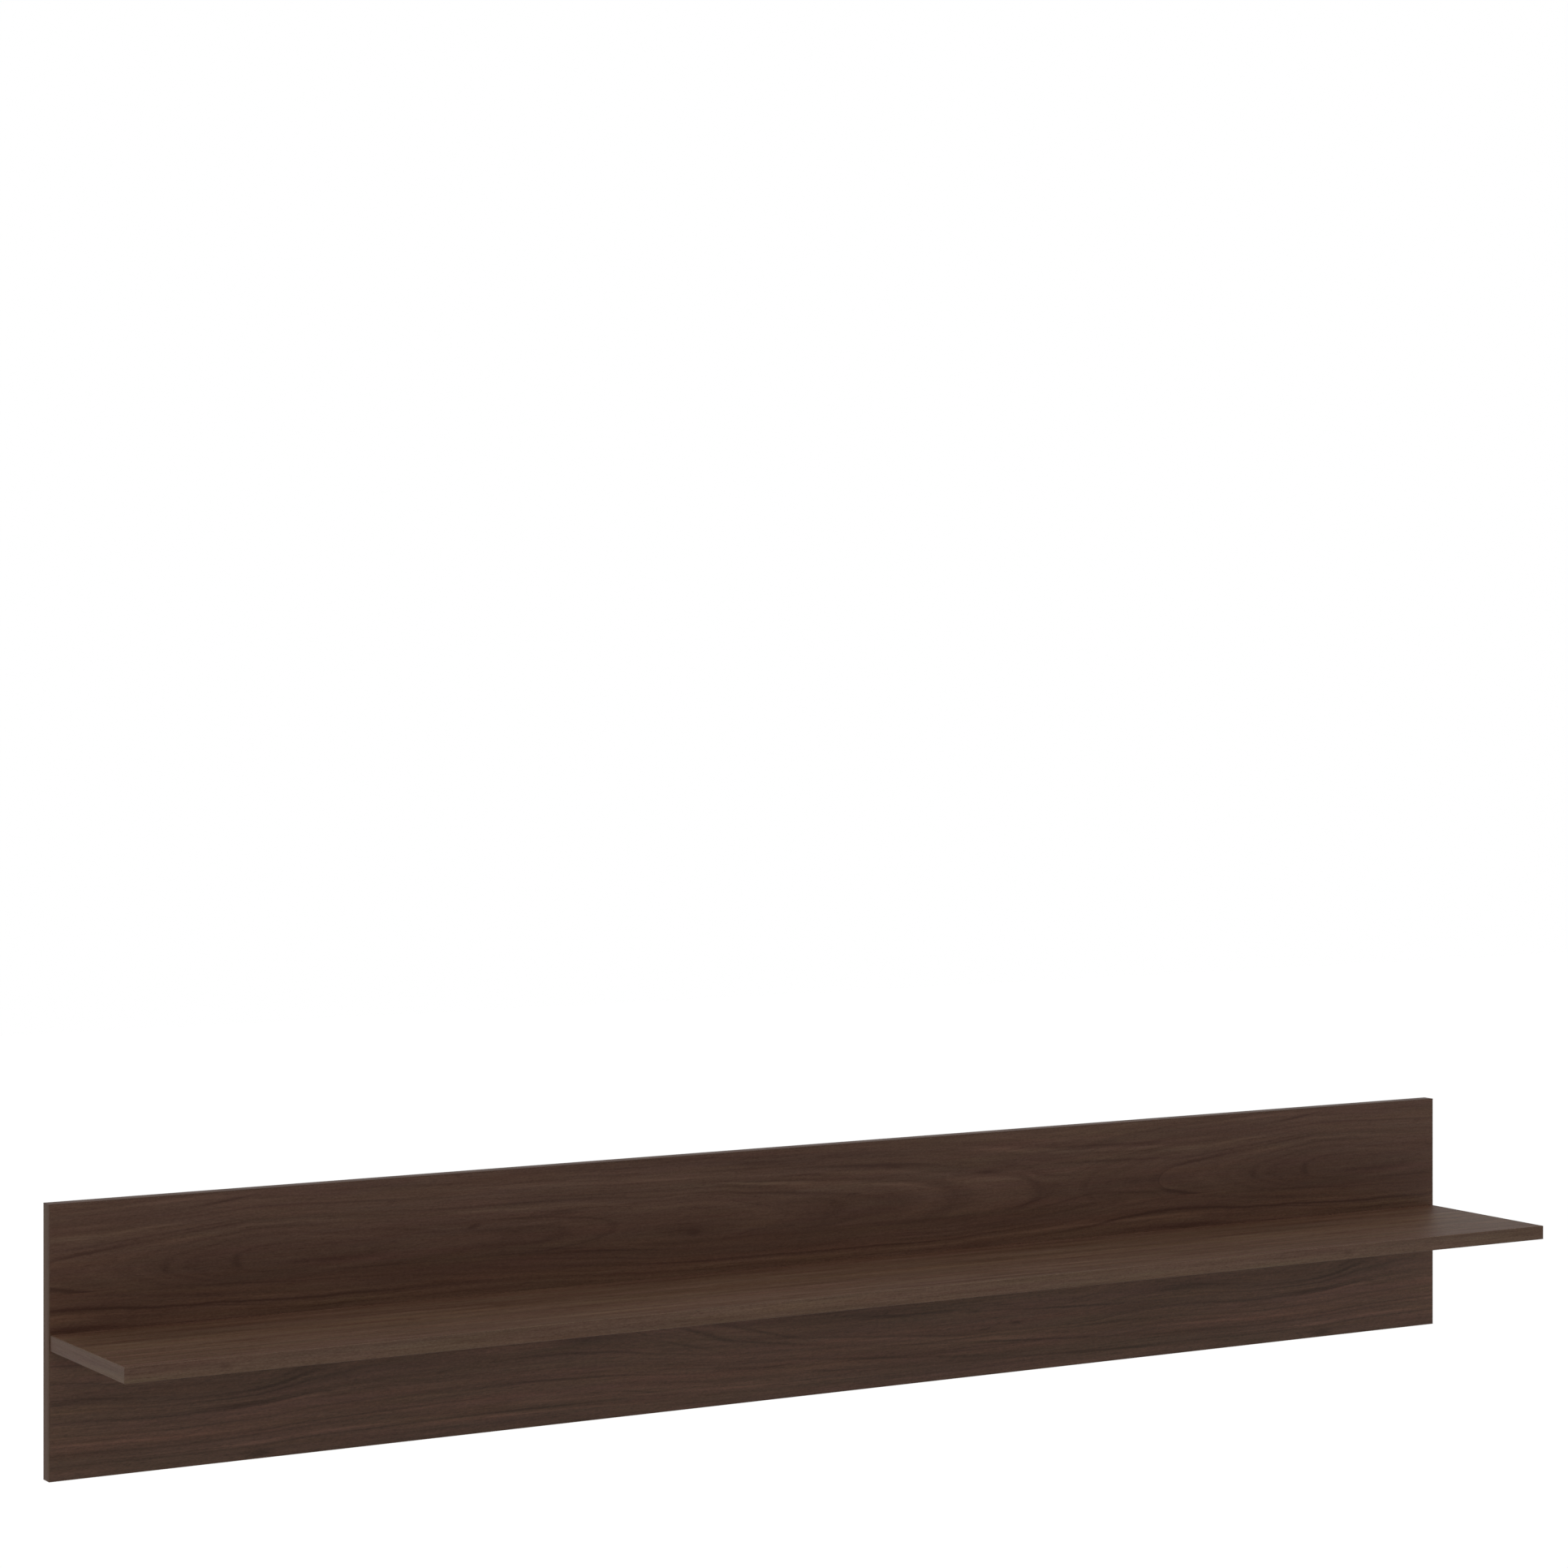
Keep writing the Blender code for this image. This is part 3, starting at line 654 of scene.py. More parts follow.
panel_foil = foil_material("walnut_foil_panel", PANEL_CUT)
chipboard = chipboard_material()
panel_low, panel_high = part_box("back_panel")
board_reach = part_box("back_panel_band_right")[0].x - GLUE_LINE
board_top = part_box("back_panel_band_top")[0].z - GLUE_LINE
panel_board = block(
    "panel_board",
    (-board_reach, panel_low.y, -board_top),
    (board_reach, panel_high.y, board_top),
)
panel_board.data.materials.append(panel_foil)
panel_board.data.materials.append(chipboard)


def show_core(board, axes):
    """Gives the sawn edges that face along these axes the look of the raw core."""
    for face in board.data.polygons:
        if any(abs(face.normal[axis]) > 0.9 for axis in axes):
            face.material_index = 1


def cut_core(board, cutter):
    """Bores or routs a board, whose raw core then shows in the cut."""
    cutter.data.materials.append(chipboard)
    combine(board, cutter, solver="EXACT")


def screw_bore(number):
    """The stepped bore for connecting screw number, wide enough for its thread."""
    low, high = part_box(f"connecting_screw_{number}")
    middle = (low + high) / 2
    wide = HEAD_DIAMETER / 2 + BORE_CLEARANCE
    narrow = THREAD_DIAMETER / 2 + BORE_CLEARANCE
    rim = high.y - HEAD_RIM
    rings = (
        (CUTTER_OVERRUN, wide),
        (rim, wide),
        (rim - (wide - narrow), narrow),
        (low.y - BORE_CLEARANCE, narrow),
    )
    return turned("screw_bore", middle.x, middle.z, rings)


def dowel_bore(number):
    """The bore for a dowel, a little wider and deeper than it."""
    low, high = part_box(f"dowel_{number}")
    middle = (low + high) / 2
    radius = (high.x - low.x) / 2 + BORE_CLEARANCE
    rings = ((high.y + BORE_CLEARANCE, radius), (low.y - BORE_CLEARANCE, radius))
    return turned("dowel_bore", middle.x, middle.z, rings)


show_core(panel_board, (0, 2))
for number in SCREW_NUMBERS:
    cut_core(panel_board, screw_bore(number))
    cut_core(panel_board, dowel_bore(number))
for number in HANGER_NUMBERS:
    plate_low, plate_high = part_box(f"hanger_plate_{number}")
    middle = (plate_low + plate_high) / 2
    width = plate_high.x - plate_low.x + 2 * BORE_CLEARANCE
    reach = (plate_high.z - plate_low.z + 2 * BORE_CLEARANCE - width) / 2
    rings = (CUTTER_OVERRUN, -POCKET_DEPTH)
    pocket = routed("pocket", width, middle.x, middle.z - reach, middle.z + reach, rings)
    cut_core(panel_board, pocket)
    entry = middle.z - KEYHOLE_ENTRY_BELOW_MIDDLE
    rings = (CUTTER_OVERRUN, -KEYHOLE_CAVITY_DEPTH)
    seat = entry + KEYHOLE_TRAVEL
    cavity = routed("cavity", KEYHOLE_CAVITY_DIAMETER, middle.x, entry, seat, rings)
    cut_core(panel_board, cavity)
    for side in ("upper", "lower"):
        low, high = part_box(f"hanger_screw_{number}_{side}")
        radius = PLATE_SCREW_DIAMETER / 2 + BORE_CLEARANCE
        rings = ((CUTTER_OVERRUN, radius), (low.y - BORE_CLEARANCE, radius))
        cut_core(panel_board, turned("pilot", middle.x, (low.z + high.z) / 2, rings, 24))
settle(panel_board, "back_panel")


# Edge bands of the back panel
# Strips of 1 mm plastic with their own walnut print, glued on with hot melt and scraped to a small
# radius. The top and bottom ones are put on last and cover the ends of the left and right ones.
ARRIS_RADIUS = 0.5 * MM
BAND_GAP = 0.2 * MM
BAND_GLOSS = 0.43
BAND_FIGURE = 0.7
END_BAND_GLOSS = 0.26
# The upright bands on the panel's ends are tinted lighter and greyer than the long ones: painted
# light and painted reflection for what the ends catch
END_BAND_TINT_AND_PAINTED_LIGHT = (0.965, 1.083, 1.168)
END_BAND_FIGURE = 0.4
# The print runs along X and round the arrises of a long band, and up Z on an upright one
LONG_CUT = ((1, 0, 0, 900 * MM), (0, -1, -1, 221 * MM))
UPRIGHT_CUT = ((0, 0, 1, 600 * MM), (0, -1, 0, 500 * MM))


def band(name, low, high, outward, sign, whole_ends):
    """A band between two corners. Its outer face looks along the axis outward, to the side of
    sign, and has its long arrises scraped round, and with whole ends the short ones too."""
    piece = block(name, low, high)
    size = high - low
    longest = max(range(3), key=lambda axis: size[axis])
    outer = high[outward] if sign > 0 else low[outward]
    bpy.ops.object.mode_set(mode="EDIT")
    bpy.ops.mesh.select_mode(type="EDGE")
    bpy.ops.mesh.select_all(action="DESELECT")
    mesh = bmesh.from_edit_mesh(piece.data)
    for edge in mesh.edges:
        ends = [corner.co for corner in edge.verts]
        on_outer_face = all(abs(end[outward] - outer) < GLUE_LINE for end in ends)
        runs_along = abs(ends[0][longest] - ends[1][longest]) > GLUE_LINE
        if on_outer_face and (runs_along or whole_ends):
            edge.select_set(True)
    bmesh.update_edit_mesh(piece.data)
    bpy.ops.mesh.bevel(offset=ARRIS_RADIUS, segments=4, profile=0.5, affect="EDGES")
    bpy.ops.mesh.select_mode(type="VERT")
    bpy.ops.object.mode_set(mode="OBJECT")
    bpy.ops.object.shade_smooth_by_angle(angle=math.radians(30))
    return piece


def pick(piece):
    """Selects one piece alone and makes it the active one."""
    bpy.ops.object.select_all(action="DESELECT")
    piece.select_set(True)
    bpy.context.view_layer.objects.active = piece


def copy_of(piece, name):
    """A copy with its own mesh, picked."""
    pick(piece)
    bpy.ops.object.duplicate()
    bpy.context.object.name = name
    return bpy.context.object


def turned_copy(piece, name):
    """A copy turned half round the line along Y through the shelf's middle."""
    twin = copy_of(piece, name)
    bpy.ops.transform.rotate(value=math.pi, orient_axis="Y", center_override=(0, 0, 0))
    bpy.ops.object.transform_apply()
    return twin


long_band_foil = foil_material("walnut_band_long", LONG_CUT, BAND_GLOSS, figure=BAND_FIGURE)
upright_band_foil = foil_material(
    "walnut_band_upright", UPRIGHT_CUT, END_BAND_GLOSS, END_BAND_TINT_AND_PAINTED_LIGHT, END_BAND_FIGURE
)
low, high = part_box("back_panel_band_top")
strip = band("panel_band_top", low, high, 2, 1, True)
strip.data.materials.append(long_band_foil)
settle(turned_copy(strip, "panel_band_bottom"), "back_panel_band_bottom")
settle(strip, "back_panel_band_top")
low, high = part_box("back_panel_band_left")
low.z -= BAND_GAP
high.z += BAND_GAP
strip = band("panel_band_left", low, high, 0, -1, False)
strip.data.materials.append(upright_band_foil)
settle(turned_copy(strip, "panel_band_right"), "back_panel_band_right")
settle(strip, "back_panel_band_left")


# Shelf board
# The second board, of the same chipboard and foil. Its rear edge butts bare on the panel and is
# bored for the thread of each screw and for the dowels.
SHELF_CUT = ((1, 0, 30, 410 * MM), (0, -1, 0, 325 * MM))

shelf_foil = foil_material("walnut_foil_shelf", SHELF_CUT)
shelf_low, shelf_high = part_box("shelf_board")
shelf_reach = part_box("shelf_board_band_right")[0].x - GLUE_LINE
shelf_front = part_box("shelf_board_band_front")[1].y + GLUE_LINE
shelf_rear = panel_low.y - GLUE_LINE
shelf_board = block(
    "shelf_top_board",
    (-shelf_reach, shelf_front, shelf_low.z),
    (shelf_reach, shelf_rear, shelf_high.z),
)
shelf_board.data.materials.append(shelf_foil)
shelf_board.data.materials.append(chipboard)
show_core(shelf_board, (0, 1))
for number in SCREW_NUMBERS:
    cut_core(shelf_board, screw_bore(number))
    cut_core(shelf_board, dowel_bore(number))
settle(shelf_board, "shelf_board")


# Edge bands of the shelf board
# The same 1 mm strips on the three edges that show. The front one goes on last and covers the ends
# of the other two, whose print runs from front to rear.
FRONT_BAND_GLOSS = 0.34
FRONT_BAND_TINT = (0.925, 0.927, 0.937)
# The cross bands on the shelf's ends are tinted lighter and greyer still: painted light and painted
# reflection on the ends
CROSS_BAND_TINT_AND_PAINTED_LIGHT = (1.105, 1.225, 1.372)
CROSS_CUT = ((0, 1, 0, 500 * MM), (0, 0, -1, 500 * MM))

cross_band_foil = foil_material(
    "walnut_band_cross", CROSS_CUT, END_BAND_GLOSS, CROSS_BAND_TINT_AND_PAINTED_LIGHT, END_BAND_FIGURE
)
front_band_foil = foil_material(
    "walnut_band_front", LONG_CUT, FRONT_BAND_GLOSS, FRONT_BAND_TINT, BAND_FIGURE
)
low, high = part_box("shelf_board_band_front")
strip = band("shelf_band_front", low, high, 1, -1, True)
strip.data.materials.append(front_band_foil)
settle(strip, "shelf_board_band_front")
low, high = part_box("shelf_board_band_left")
low.y -= BAND_GAP
high.y = shelf_rear
strip = band("shelf_band_left", low, high, 0, -1, False)
strip.data.materials.append(cross_band_foil)
settle(turned_copy(strip, "shelf_band_right"), "shelf_board_band_right")
settle(strip, "shelf_board_band_left")


# Dowels
# Fluted beech pegs, 8 x 30 mm, glued a third into the panel and two thirds into the shelf, where
# they take the load beside each screw. Their flutes are pressed in and let the glue rise.
DOWEL_CHAMFER = 1 * MM
FLUTE_COUNT = 20
FLUTE_SHARE = 0.93
BEECH_FIBRES = (1500, 90, 1500)
BEECH_FLECKS = (2600, 500, 2600)
BEECH_TONES = ((0.0, (0.36, 0.21, 0.11)), (0.5, (0.56, 0.39, 0.235)), (1.0, (0.68, 0.51, 0.34)))
BEECH_ROUGHNESS = 0.6
BEECH_DEPTH = 0.1 * MM


def beech_material():
    """Raw beech: fibres along the peg, with the short dark flecks of its rays."""
    material, tree, shader = start_material("beech_dowel", {"Roughness": BEECH_ROUGHNESS})
    fibres = noise(tree, stretched(tree, BEECH_FIBRES), 0.0, 3.0, 0.6)
    flecks = noise(tree, stretched(tree, BEECH_FLECKS), 5.0, 1.0)
    tone = maths(tree, "MULTIPLY_ADD", fibres, 0.5, 0.55)
    tone = maths(tree, "MULTIPLY_ADD", rescale(tree, flecks, 0.25, 0.4), -0.35, tone)
    tree.links.new(ramp(tree, tone, BEECH_TONES), shader.inputs["Base Color"])
    relief(tree, shader, fibres, 0.5, BEECH_DEPTH)
    return material


def middle_of(node):
    """The middle of a solid's box."""
    low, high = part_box(node)
    return (low + high) / 2


def repeat(piece, name, node, marks, slot):
    """Copies the piece that was made for the first mark to the others' solids, and settles all."""
    first, *others = marks
    start = middle_of(f"{node}_{first}")
    for mark in others:
        twin = copy_of(piece, f"{name}_{mark}")
        bpy.ops.transform.translate(value=middle_of(f"{node}_{mark}") - start)
        bpy.ops.object.transform_apply()
        settle(twin, f"{node}_{mark}")
    settle(piece, f"{node}_{first}")


low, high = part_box("dowel_1")
first_dowel = middle_of("dowel_1")
radius = (high.x - low.x) / 2
rings = (
    (high.y, radius - DOWEL_CHAMFER),
    (high.y - DOWEL_CHAMFER, radius),
    (low.y + DOWEL_CHAMFER, radius),
    (low.y, radius - DOWEL_CHAMFER),
)
dowel = turned("beech_dowel_1", first_dowel.x, first_dowel.z, rings, 4 * FLUTE_COUNT)
flute_turn = math.tau / FLUTE_COUNT


def on_flute(place):
    """Whether a corner of the dowel lies in the middle of a flute."""
    turn = math.atan2(place.z - first_dowel.z, place.x - first_dowel.x)
    return abs((turn + flute_turn / 2) % flute_turn - flute_turn / 2) < flute_turn / 8


choose_corners(dowel, on_flute)
bpy.ops.transform.resize(
    value=(FLUTE_SHARE, 1, FLUTE_SHARE), center_override=(first_dowel.x, 0, first_dowel.z)
)
bpy.ops.object.mode_set(mode="OBJECT")
bpy.ops.object.shade_smooth_by_angle(angle=math.radians(40))
dowel.data.materials.append(beech_material())
repeat(dowel, "beech_dowel", "dowel", SCREW_NUMBERS, "beech")


# Connecting screws
# One-piece screws of zinc-plated steel, 7 x 50 mm, with a coarse sharp thread that cuts its way
# into the shelf's core. They are driven from behind until the countersunk head seats in the panel.
THREAD_CORE = 4.8 * MM
THREAD_PITCH = 3.0 * MM
THREAD_BASE = 1.5 * MM
THREAD_STEPS = 24
THREAD_WELD = 0.001 * MM
THREAD_ROOT = 0.1 * MM
HEAD_ARRIS = 0.15 * MM
NECK_DIAMETER = 6.4 * MM
NECK_LENGTH = 14 * MM
TIP_DIAMETER = 3.6 * MM
TIP_LENGTH = 4 * MM
SOCKET_WIDTH = 4 * MM
SOCKET_DEPTH = 3 * MM
SOCKET_MOUTH_DEPTH = 0.4 * MM
SOCKET_MOUTH_WIDER = 0.5 * MM
SOCKET_FOOT_NARROWER = 0.3 * MM
SCREW_LINES = (900, 2600, 900)
SCREW_LINE_DEPTH = 0.01 * MM
ZINC_CLOUDS = (260.0, 0.0, 3.0)
ZINC_GRIT = (3500.0, 3.0, 2.0)
ZINC_TONES = ((0.0, (0.36, 0.38, 0.41)), (0.5, (0.50, 0.515, 0.535)), (1.0, (0.62, 0.62, 0.61)))
ZINC_ROUGHNESS = 0.34


def zinc_group():
    """Zinc plating: bluish grey, cloudy, with fine grit and the lines of rolling or drawing."""
    tree, given, wanted = new_group(
        "zinc plating",
        (("Vector", "Vector"), ("Lines", "Vector")),
        (("Color", "Color"), ("Roughness", "Float"), ("Height", "Float")),
    )
    layers = []
    for lumps, seed, detail in (ZINC_CLOUDS, ZINC_GRIT):
        scaled = vector_maths(tree, "MULTIPLY", given["Vector"], (lumps,) * 3)
        layers.append(noise(tree, scaled, seed, detail, 0.6))
    clouds, grit = layers
    drawn = vector_maths(tree, "MULTIPLY", given["Vector"], given["Lines"])
    lines = noise(tree, drawn, 7.0, 3.0, 0.65)
    tone = maths(tree, "MULTIPLY_ADD", clouds, 0.55, 0.5)
    tone = maths(tree, "MULTIPLY_ADD", lines, 0.55, tone)
    tone = maths(tree, "MULTIPLY_ADD", grit, 0.25, tone)
    tree.links.new(ramp(tree, tone, ZINC_TONES), wanted["Color"])
    roughness = maths(tree, "MULTIPLY_ADD", clouds, 0.12, ZINC_ROUGHNESS)
    tree.links.new(maths(tree, "MULTIPLY_ADD", lines, 0.10, roughness), wanted["Roughness"])
    tree.links.new(maths(tree, "MULTIPLY_ADD", grit, 0.5, lines), wanted["Height"])
    return tree


zinc_plating = zinc_group()


def zinc_material(name, line_depth, lines):
    """Plated steel. lines gives how many lumps to the metre its grain has along each axis."""
    material, tree, shader = start_material(name, {"Metallic": 1.0})
    plating = tree.nodes.new("ShaderNodeGroup")
    plating.node_tree = zinc_plating
    place = tree.nodes.new("ShaderNodeTexCoord").outputs["Object"]
    tree.links.new(place, plating.inputs["Vector"])
    set_inputs(plating, {"Lines": lines})
    tree.links.new(plating.outputs["Color"], shader.inputs["Base Color"])
    tree.links.new(plating.outputs["Roughness"], shader.inputs["Roughness"])
    relief(tree, shader, plating.outputs["Height"], 0.4, line_depth)
    return material


def plate_over(piece, material, sharp_from):
    """Gives a finished steel piece one material all over, with edges sharp from an angle on."""
    piece.data.materials.clear()
    piece.data.materials.append(material)
    for face in piece.data.polygons:
        face.material_index = 0
    pick(piece)
    bpy.ops.object.shade_smooth_by_angle(angle=math.radians(sharp_from))


def wind_thread(screw, x, z, start, end, core, crest, pitch, base):
    """Winds a sharp ridge round a screw's core from y = start to y = end, fading at both ends.
    Core and crest are diameters, and base is the ridge's width where it leaves the core."""
    height = (crest - core) / 2 + THREAD_ROOT
    bpy.ops.object.select_all(action="DESELECT")
    corner = base / math.sqrt(3)
    bpy.ops.mesh.primitive_circle_add(
        vertices=3,
        radius=corner,
        fill_type="NOTHING",
        location=(x, start, z),
        rotation=(0, 0, -math.pi / 2),
    )
    ridge = bpy.context.object
    bpy.ops.object.transform_apply(location=False, rotation=True, scale=True)
    bpy.ops.object.mode_set(mode="EDIT")
    bpy.ops.mesh.select_all(action="SELECT")
    bpy.ops.transform.resize(value=(height / (1.5 * corner), 1, 1), center_override=(x, start, z))
    bpy.ops.transform.translate(value=(core / 2 - THREAD_ROOT + height / 3, 0, 0))
    bpy.ops.object.mode_set(mode="OBJECT")
    winding = ridge.modifiers.new("winding", "SCREW")
    winding.axis = "Y"
    winding.screw_offset = -pitch
    winding.iterations = math.ceil((start - end) / pitch)
    winding.steps = THREAD_STEPS
    winding.render_steps = THREAD_STEPS
    winding.use_smooth_shade = False
    bpy.ops.object.modifier_apply(modifier=winding.name)
    bpy.ops.object.transform_apply()
    bpy.ops.object.mode_set(mode="EDIT")
    bpy.ops.mesh.select_all(action="SELECT")
    bpy.ops.mesh.fill_holes(sides=3)
    bpy.ops.mesh.select_all(action="SELECT")
    bpy.ops.mesh.normals_make_consistent(inside=False)
    bpy.ops.object.mode_set(mode="OBJECT")
    fade = crest - core
    rings = (
        (start - pitch / 2, core / 2 - 2 * THREAD_ROOT),
        (start - pitch / 2 - fade, crest / 2),
        (end + fade, crest / 2),
        (end, core / 2 - 2 * THREAD_ROOT),
    )
    envelope = turned("envelope", x, z, rings)
    combine(ridge, envelope, "INTERSECT")
    combine(screw, ridge, "UNION")
    pick(screw)
    bpy.ops.object.mode_set(mode="EDIT")
    bpy.ops.mesh.select_all(action="SELECT")
    bpy.ops.mesh.remove_doubles(threshold=THREAD_WELD)
    bpy.ops.mesh.normals_make_consistent(inside=False)
    bpy.ops.object.mode_set(mode="OBJECT")


zinc = zinc_material("zinc_plated_screws", SCREW_LINE_DEPTH, SCREW_LINES)
low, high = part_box("connecting_screw_1")
x, _, z = middle_of("connecting_screw_1")
neck_end = high.y - NECK_LENGTH
rings = (
    (high.y, HEAD_DIAMETER / 2 - HEAD_ARRIS),
    (high.y - HEAD_ARRIS, HEAD_DIAMETER / 2),
    (high.y - HEAD_RIM, HEAD_DIAMETER / 2),
    (high.y - HEAD_RIM - (HEAD_DIAMETER - NECK_DIAMETER) / 2, NECK_DIAMETER / 2),
    (neck_end, NECK_DIAMETER / 2),
    (neck_end - (NECK_DIAMETER - THREAD_CORE) / 2, THREAD_CORE / 2),
    (low.y + TIP_LENGTH, THREAD_CORE / 2),
    (low.y + TIP_LENGTH * 0.8, TIP_DIAMETER / 2),
    (low.y + TIP_LENGTH * 0.2, TIP_DIAMETER / 2),
    (low.y, TIP_DIAMETER / 4),
)
screw = turned("connecting_screw_steel_1", x, z, rings)
wind_thread(
    screw, x, z, neck_end, low.y + TIP_LENGTH * 0.7, THREAD_CORE, THREAD_DIAMETER, THREAD_PITCH,
    THREAD_BASE,
)
socket_radius = SOCKET_WIDTH / math.sqrt(3)
rings = (
    (high.y + CUTTER_OVERRUN, socket_radius),
    (high.y - SOCKET_DEPTH, socket_radius),
    (high.y - SOCKET_DEPTH * 1.25, socket_radius * 0.2),
)
combine(screw, turned("socket", x, z, rings, 6))
rings = (
    (high.y + SOCKET_MOUTH_DEPTH, socket_radius + SOCKET_MOUTH_WIDER),
    (high.y - SOCKET_MOUTH_DEPTH, socket_radius - SOCKET_FOOT_NARROWER),
)
combine(screw, turned("socket_mouth", x, z, rings))
plate_over(screw, zinc, 30)
repeat(screw, "connecting_screw_steel", "connecting_screw", SCREW_NUMBERS, "zinc_plated_steel")


# Keyhole hanger plates
# Stamped plates of 2 mm zinc-plated steel, let in flush with the rear face. The head of a wall
# screw goes in at the round hole, and the panel then drops until the shank seats in the slot.
STAMPED_EDGE = 0.2 * MM
ENTRY_DIAMETER = 10 * MM
SLOT_WIDTH = 5 * MM
COUNTERSINK = 6.6 * MM
PLATE_LINES = (4500, 4500, 60)
PLATE_LINE_DEPTH = 0.02 * MM

plate_zinc = zinc_material("zinc_plated_plates", PLATE_LINE_DEPTH, PLATE_LINES)
low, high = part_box("hanger_plate_1")
x, _, z = middle_of("hanger_plate_1")
reach = (high.z - low.z - (high.x - low.x)) / 2
plate = routed("keyhole_plate_1", high.x - low.x, x, z - reach, z + reach, (high.y, low.y))
entry = z - KEYHOLE_ENTRY_BELOW_MIDDLE
seat = entry + KEYHOLE_TRAVEL
through = (CUTTER_OVERRUN, low.y - CUTTER_OVERRUN)
rings = [(y, ENTRY_DIAMETER / 2) for y in through]
combine(plate, turned("entry", x, entry, rings))
combine(plate, routed("slot", SLOT_WIDTH, x, entry, seat, through))
for side in (1, -1):
    hole_z = z + side * PLATE_SCREW_SPACING / 2
    hole = PLATE_SCREW_DIAMETER / 2 + BORE_CLEARANCE
    sunk = high.y - (COUNTERSINK / 2 - hole)
    rings = (
        (high.y + CUTTER_OVERRUN, COUNTERSINK / 2 + CUTTER_OVERRUN),
        (sunk, hole),
        (through[1], hole),
    )
    combine(plate, turned("countersink", x, hole_z, rings))
bpy.context.view_layer.objects.active = plate
rounding = plate.modifiers.new("stamped_edge", "BEVEL")
rounding.width = STAMPED_EDGE
rounding.segments = 2
rounding.limit_method = "ANGLE"
rounding.angle_limit = math.radians(40)
bpy.ops.object.modifier_apply(modifier=rounding.name)
plate_over(plate, plate_zinc, 35)
repeat(plate, "keyhole_plate", "hanger_plate", HANGER_NUMBERS, "zinc_plated_steel")


# Screws of the hanger plates
# Two small countersunk wood screws in each plate, 3 x 12 mm, zinc-plated, with a cross recess.
SMALL_THREAD_CORE = 2.0 * MM
SMALL_THREAD_PITCH = 1.35 * MM
SMALL_THREAD_BASE = 0.7 * MM
SMALL_TIP_LENGTH = 3 * MM
SMALL_TIP_RADIUS = 0.15 * MM
SMALL_THREAD_END = 1.2 * MM
SMALL_ARRIS = 0.1 * MM
RECESS_SPAN = 3.4 * MM
RECESS_WIDTH = 0.9 * MM
RECESS_DEPTH = 1.3 * MM
RECESS_SPAN_BELOW = 0.4
RECESS_WIDTH_BELOW = 0.7

low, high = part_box("hanger_screw_1_upper")
x, _, z = middle_of("hanger_screw_1_upper")
head = PLATE_SCREW_HEAD / 2
core = SMALL_THREAD_CORE / 2
rings = (
    (high.y, head - SMALL_ARRIS),
    (high.y - SMALL_ARRIS, head),
    (high.y - PLATE_SCREW_RIM, head),
    (high.y - PLATE_SCREW_RIM - (head - core), core),
    (low.y + SMALL_TIP_LENGTH, core),
    (low.y, SMALL_TIP_RADIUS),
)
small = turned("plate_screw_1_upper", x, z, rings, 32)
wind_thread(
    small, x, z, high.y - PLATE_SCREW_RIM - head, low.y + SMALL_THREAD_END, SMALL_THREAD_CORE,
    PLATE_SCREW_DIAMETER, SMALL_THREAD_PITCH, SMALL_THREAD_BASE,
)
for length, height in ((RECESS_SPAN, RECESS_WIDTH), (RECESS_WIDTH, RECESS_SPAN)):
    arm = block(
        "recess_arm",
        (x - length / 2, high.y - RECESS_DEPTH, z - height / 2),
        (x + length / 2, high.y + CUTTER_OVERRUN, z + height / 2),
    )
    choose_corners(arm, lambda place: place.y < high.y - RECESS_DEPTH / 2)
    below = (RECESS_SPAN_BELOW, 1, RECESS_WIDTH_BELOW)
    bpy.ops.transform.resize(
        value=below if length > height else below[::-1], center_override=(x, high.y, z)
    )
    bpy.ops.object.mode_set(mode="OBJECT")
    combine(small, arm)
plate_over(small, zinc, 30)
marks = [f"{number}_{side}" for number in HANGER_NUMBERS for side in ("upper", "lower")]
repeat(small, "plate_screw", "hanger_screw", marks, "zinc_plated_steel")


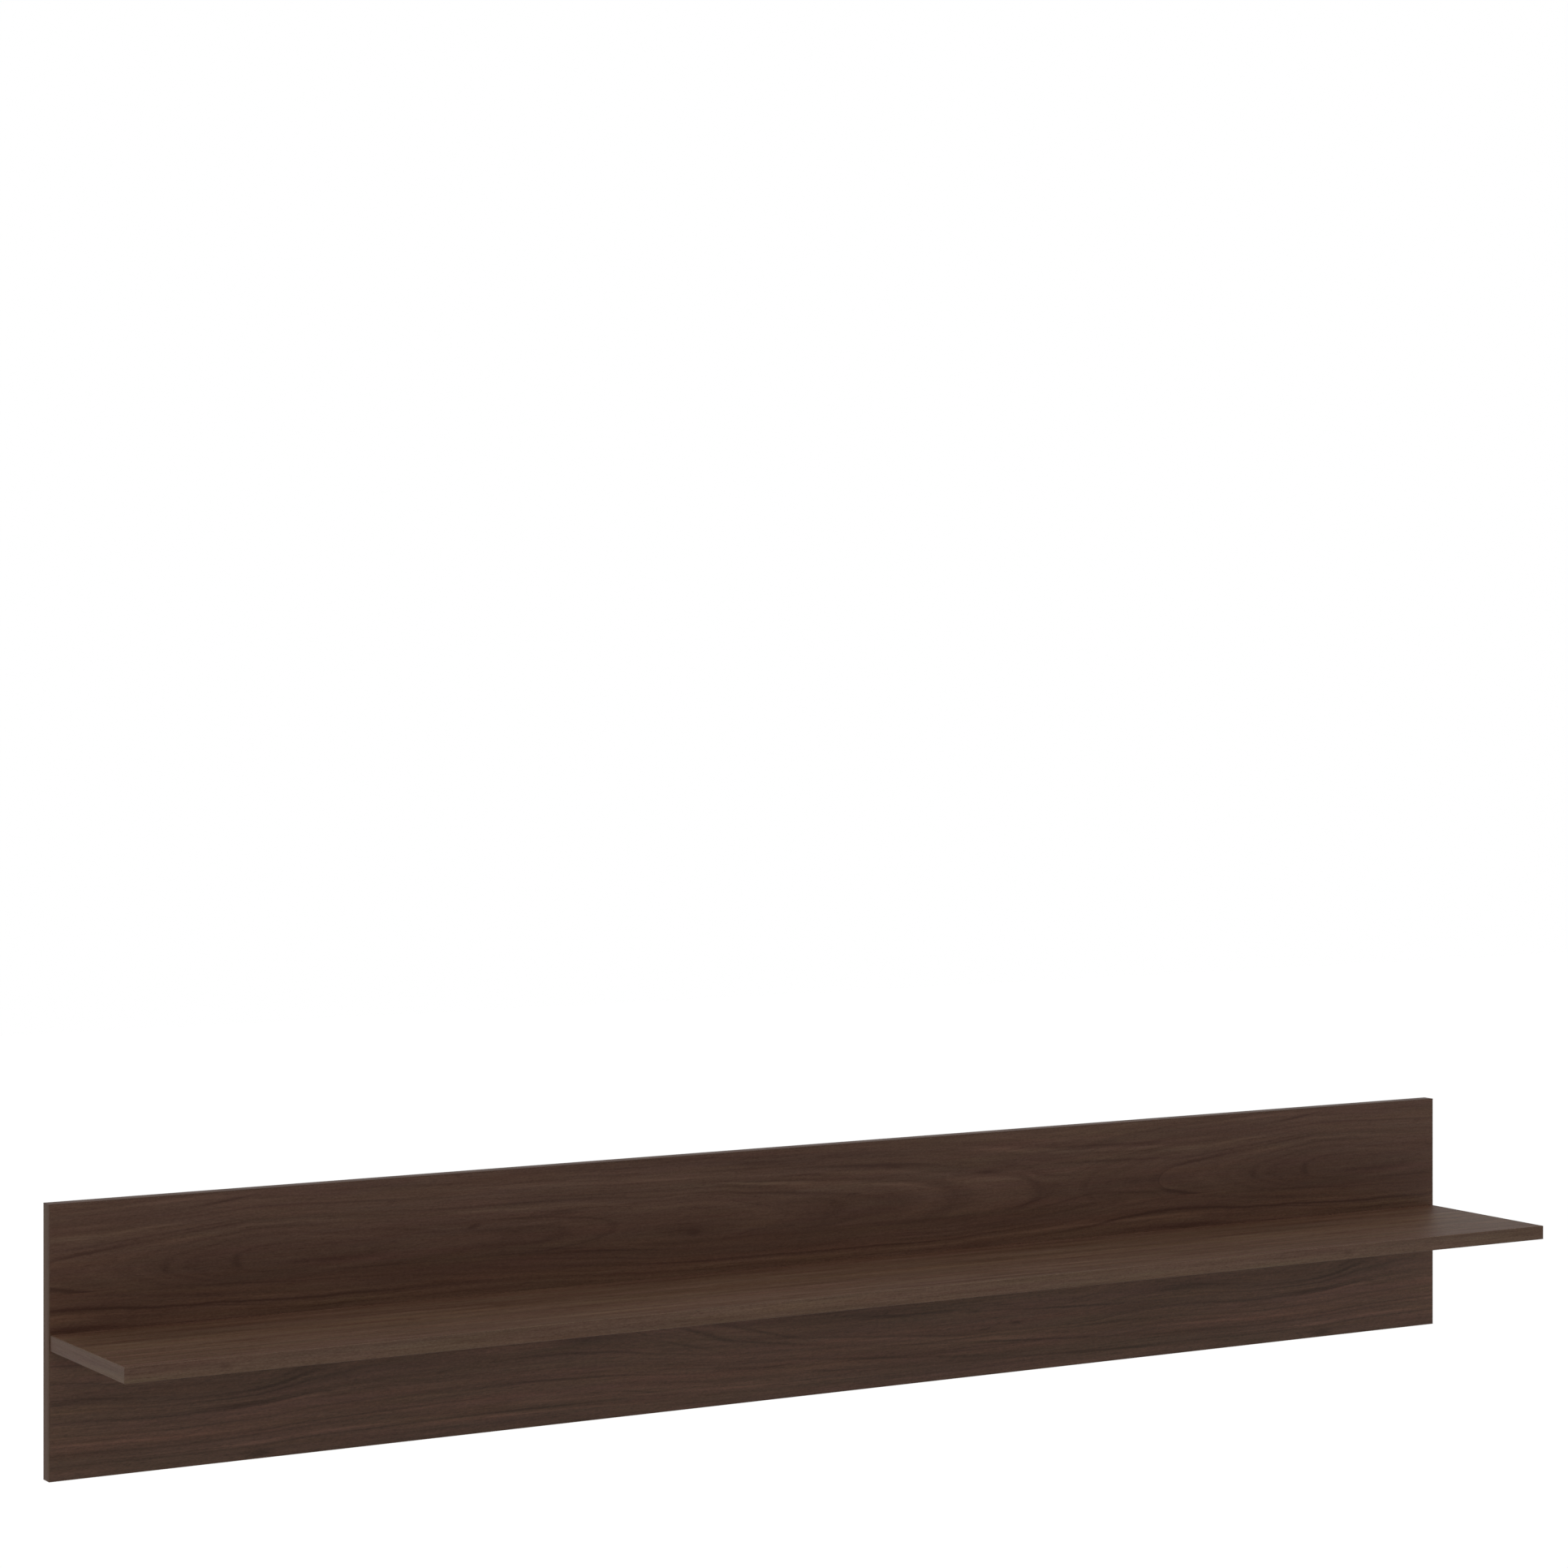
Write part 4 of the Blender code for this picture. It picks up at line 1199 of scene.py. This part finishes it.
# Camera, light and floor
# The shelf is seen from the front left and a little above, in a plain white studio that lights it
# from all round. The pale floor lies well below it, as under a shelf that hangs on a wall, and is
# clear from below.
CAMERA_PLACE = (-2.2743, -3.7713, 0.7023)
CAMERA_TURN = math.radians(-30.7682)
CAMERA_LENS = 89.612
CAMERA_SENSOR = 36
CAMERA_SHIFT = -0.08798
FLOOR_HEIGHT = -1.25
FLOOR_SIZE = 30
FLOOR_PALE = 0.68
FLOOR_TO_WHITE = 0.34

camera = bpy.data.objects.new("camera", bpy.data.cameras.new("camera"))
bpy.context.scene.collection.objects.link(camera)
bpy.context.scene.camera = camera
camera.location = CAMERA_PLACE
camera.rotation_euler = (math.pi / 2, 0, CAMERA_TURN)
camera.data.sensor_width = CAMERA_SENSOR
camera.data.lens = CAMERA_LENS
camera.data.shift_y = CAMERA_SHIFT

bpy.context.scene.view_settings.view_transform = "Standard"
world = bpy.data.worlds.new("white_studio")
bpy.context.scene.world = world
world.use_nodes = True
set_inputs(world.node_tree.nodes["Background"], {"Color": (1, 1, 1, 1), "Strength": 1.0})

bpy.ops.object.select_all(action="DESELECT")
bpy.ops.mesh.primitive_plane_add(size=FLOOR_SIZE, location=(0, 0, FLOOR_HEIGHT))
floor = bpy.context.object
floor.name = "floor"
floor_paint, tree, shader = start_material("floor_paint", {
    "Base Color": (FLOOR_PALE, FLOOR_PALE, FLOOR_PALE, 1),
    "Roughness": 1.0,
    "Specular IOR Level": 0.0,
    "Emission Color": (1, 1, 1, 1),
})
rays = tree.nodes.new("ShaderNodeLightPath").outputs
seen = maths(tree, "ADD", rays["Is Camera Ray"], rays["Is Glossy Ray"])
seen = maths(tree, "ADD", seen, rays["Is Transmission Ray"])
tree.links.new(maths(tree, "MULTIPLY", seen, FLOOR_TO_WHITE), shader.inputs["Emission Strength"])
from_below = tree.nodes.new("ShaderNodeNewGeometry").outputs["Backfacing"]
clear = tree.nodes.new("ShaderNodeBsdfTransparent").outputs[0]
one_sided = fed_node(tree, "MixShader", (from_below, shader.outputs[0], clear))
tree.links.new(one_sided.outputs[0], tree.nodes["Material Output"].inputs["Surface"])
floor.data.materials.append(floor_paint)
floor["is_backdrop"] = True

low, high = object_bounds()
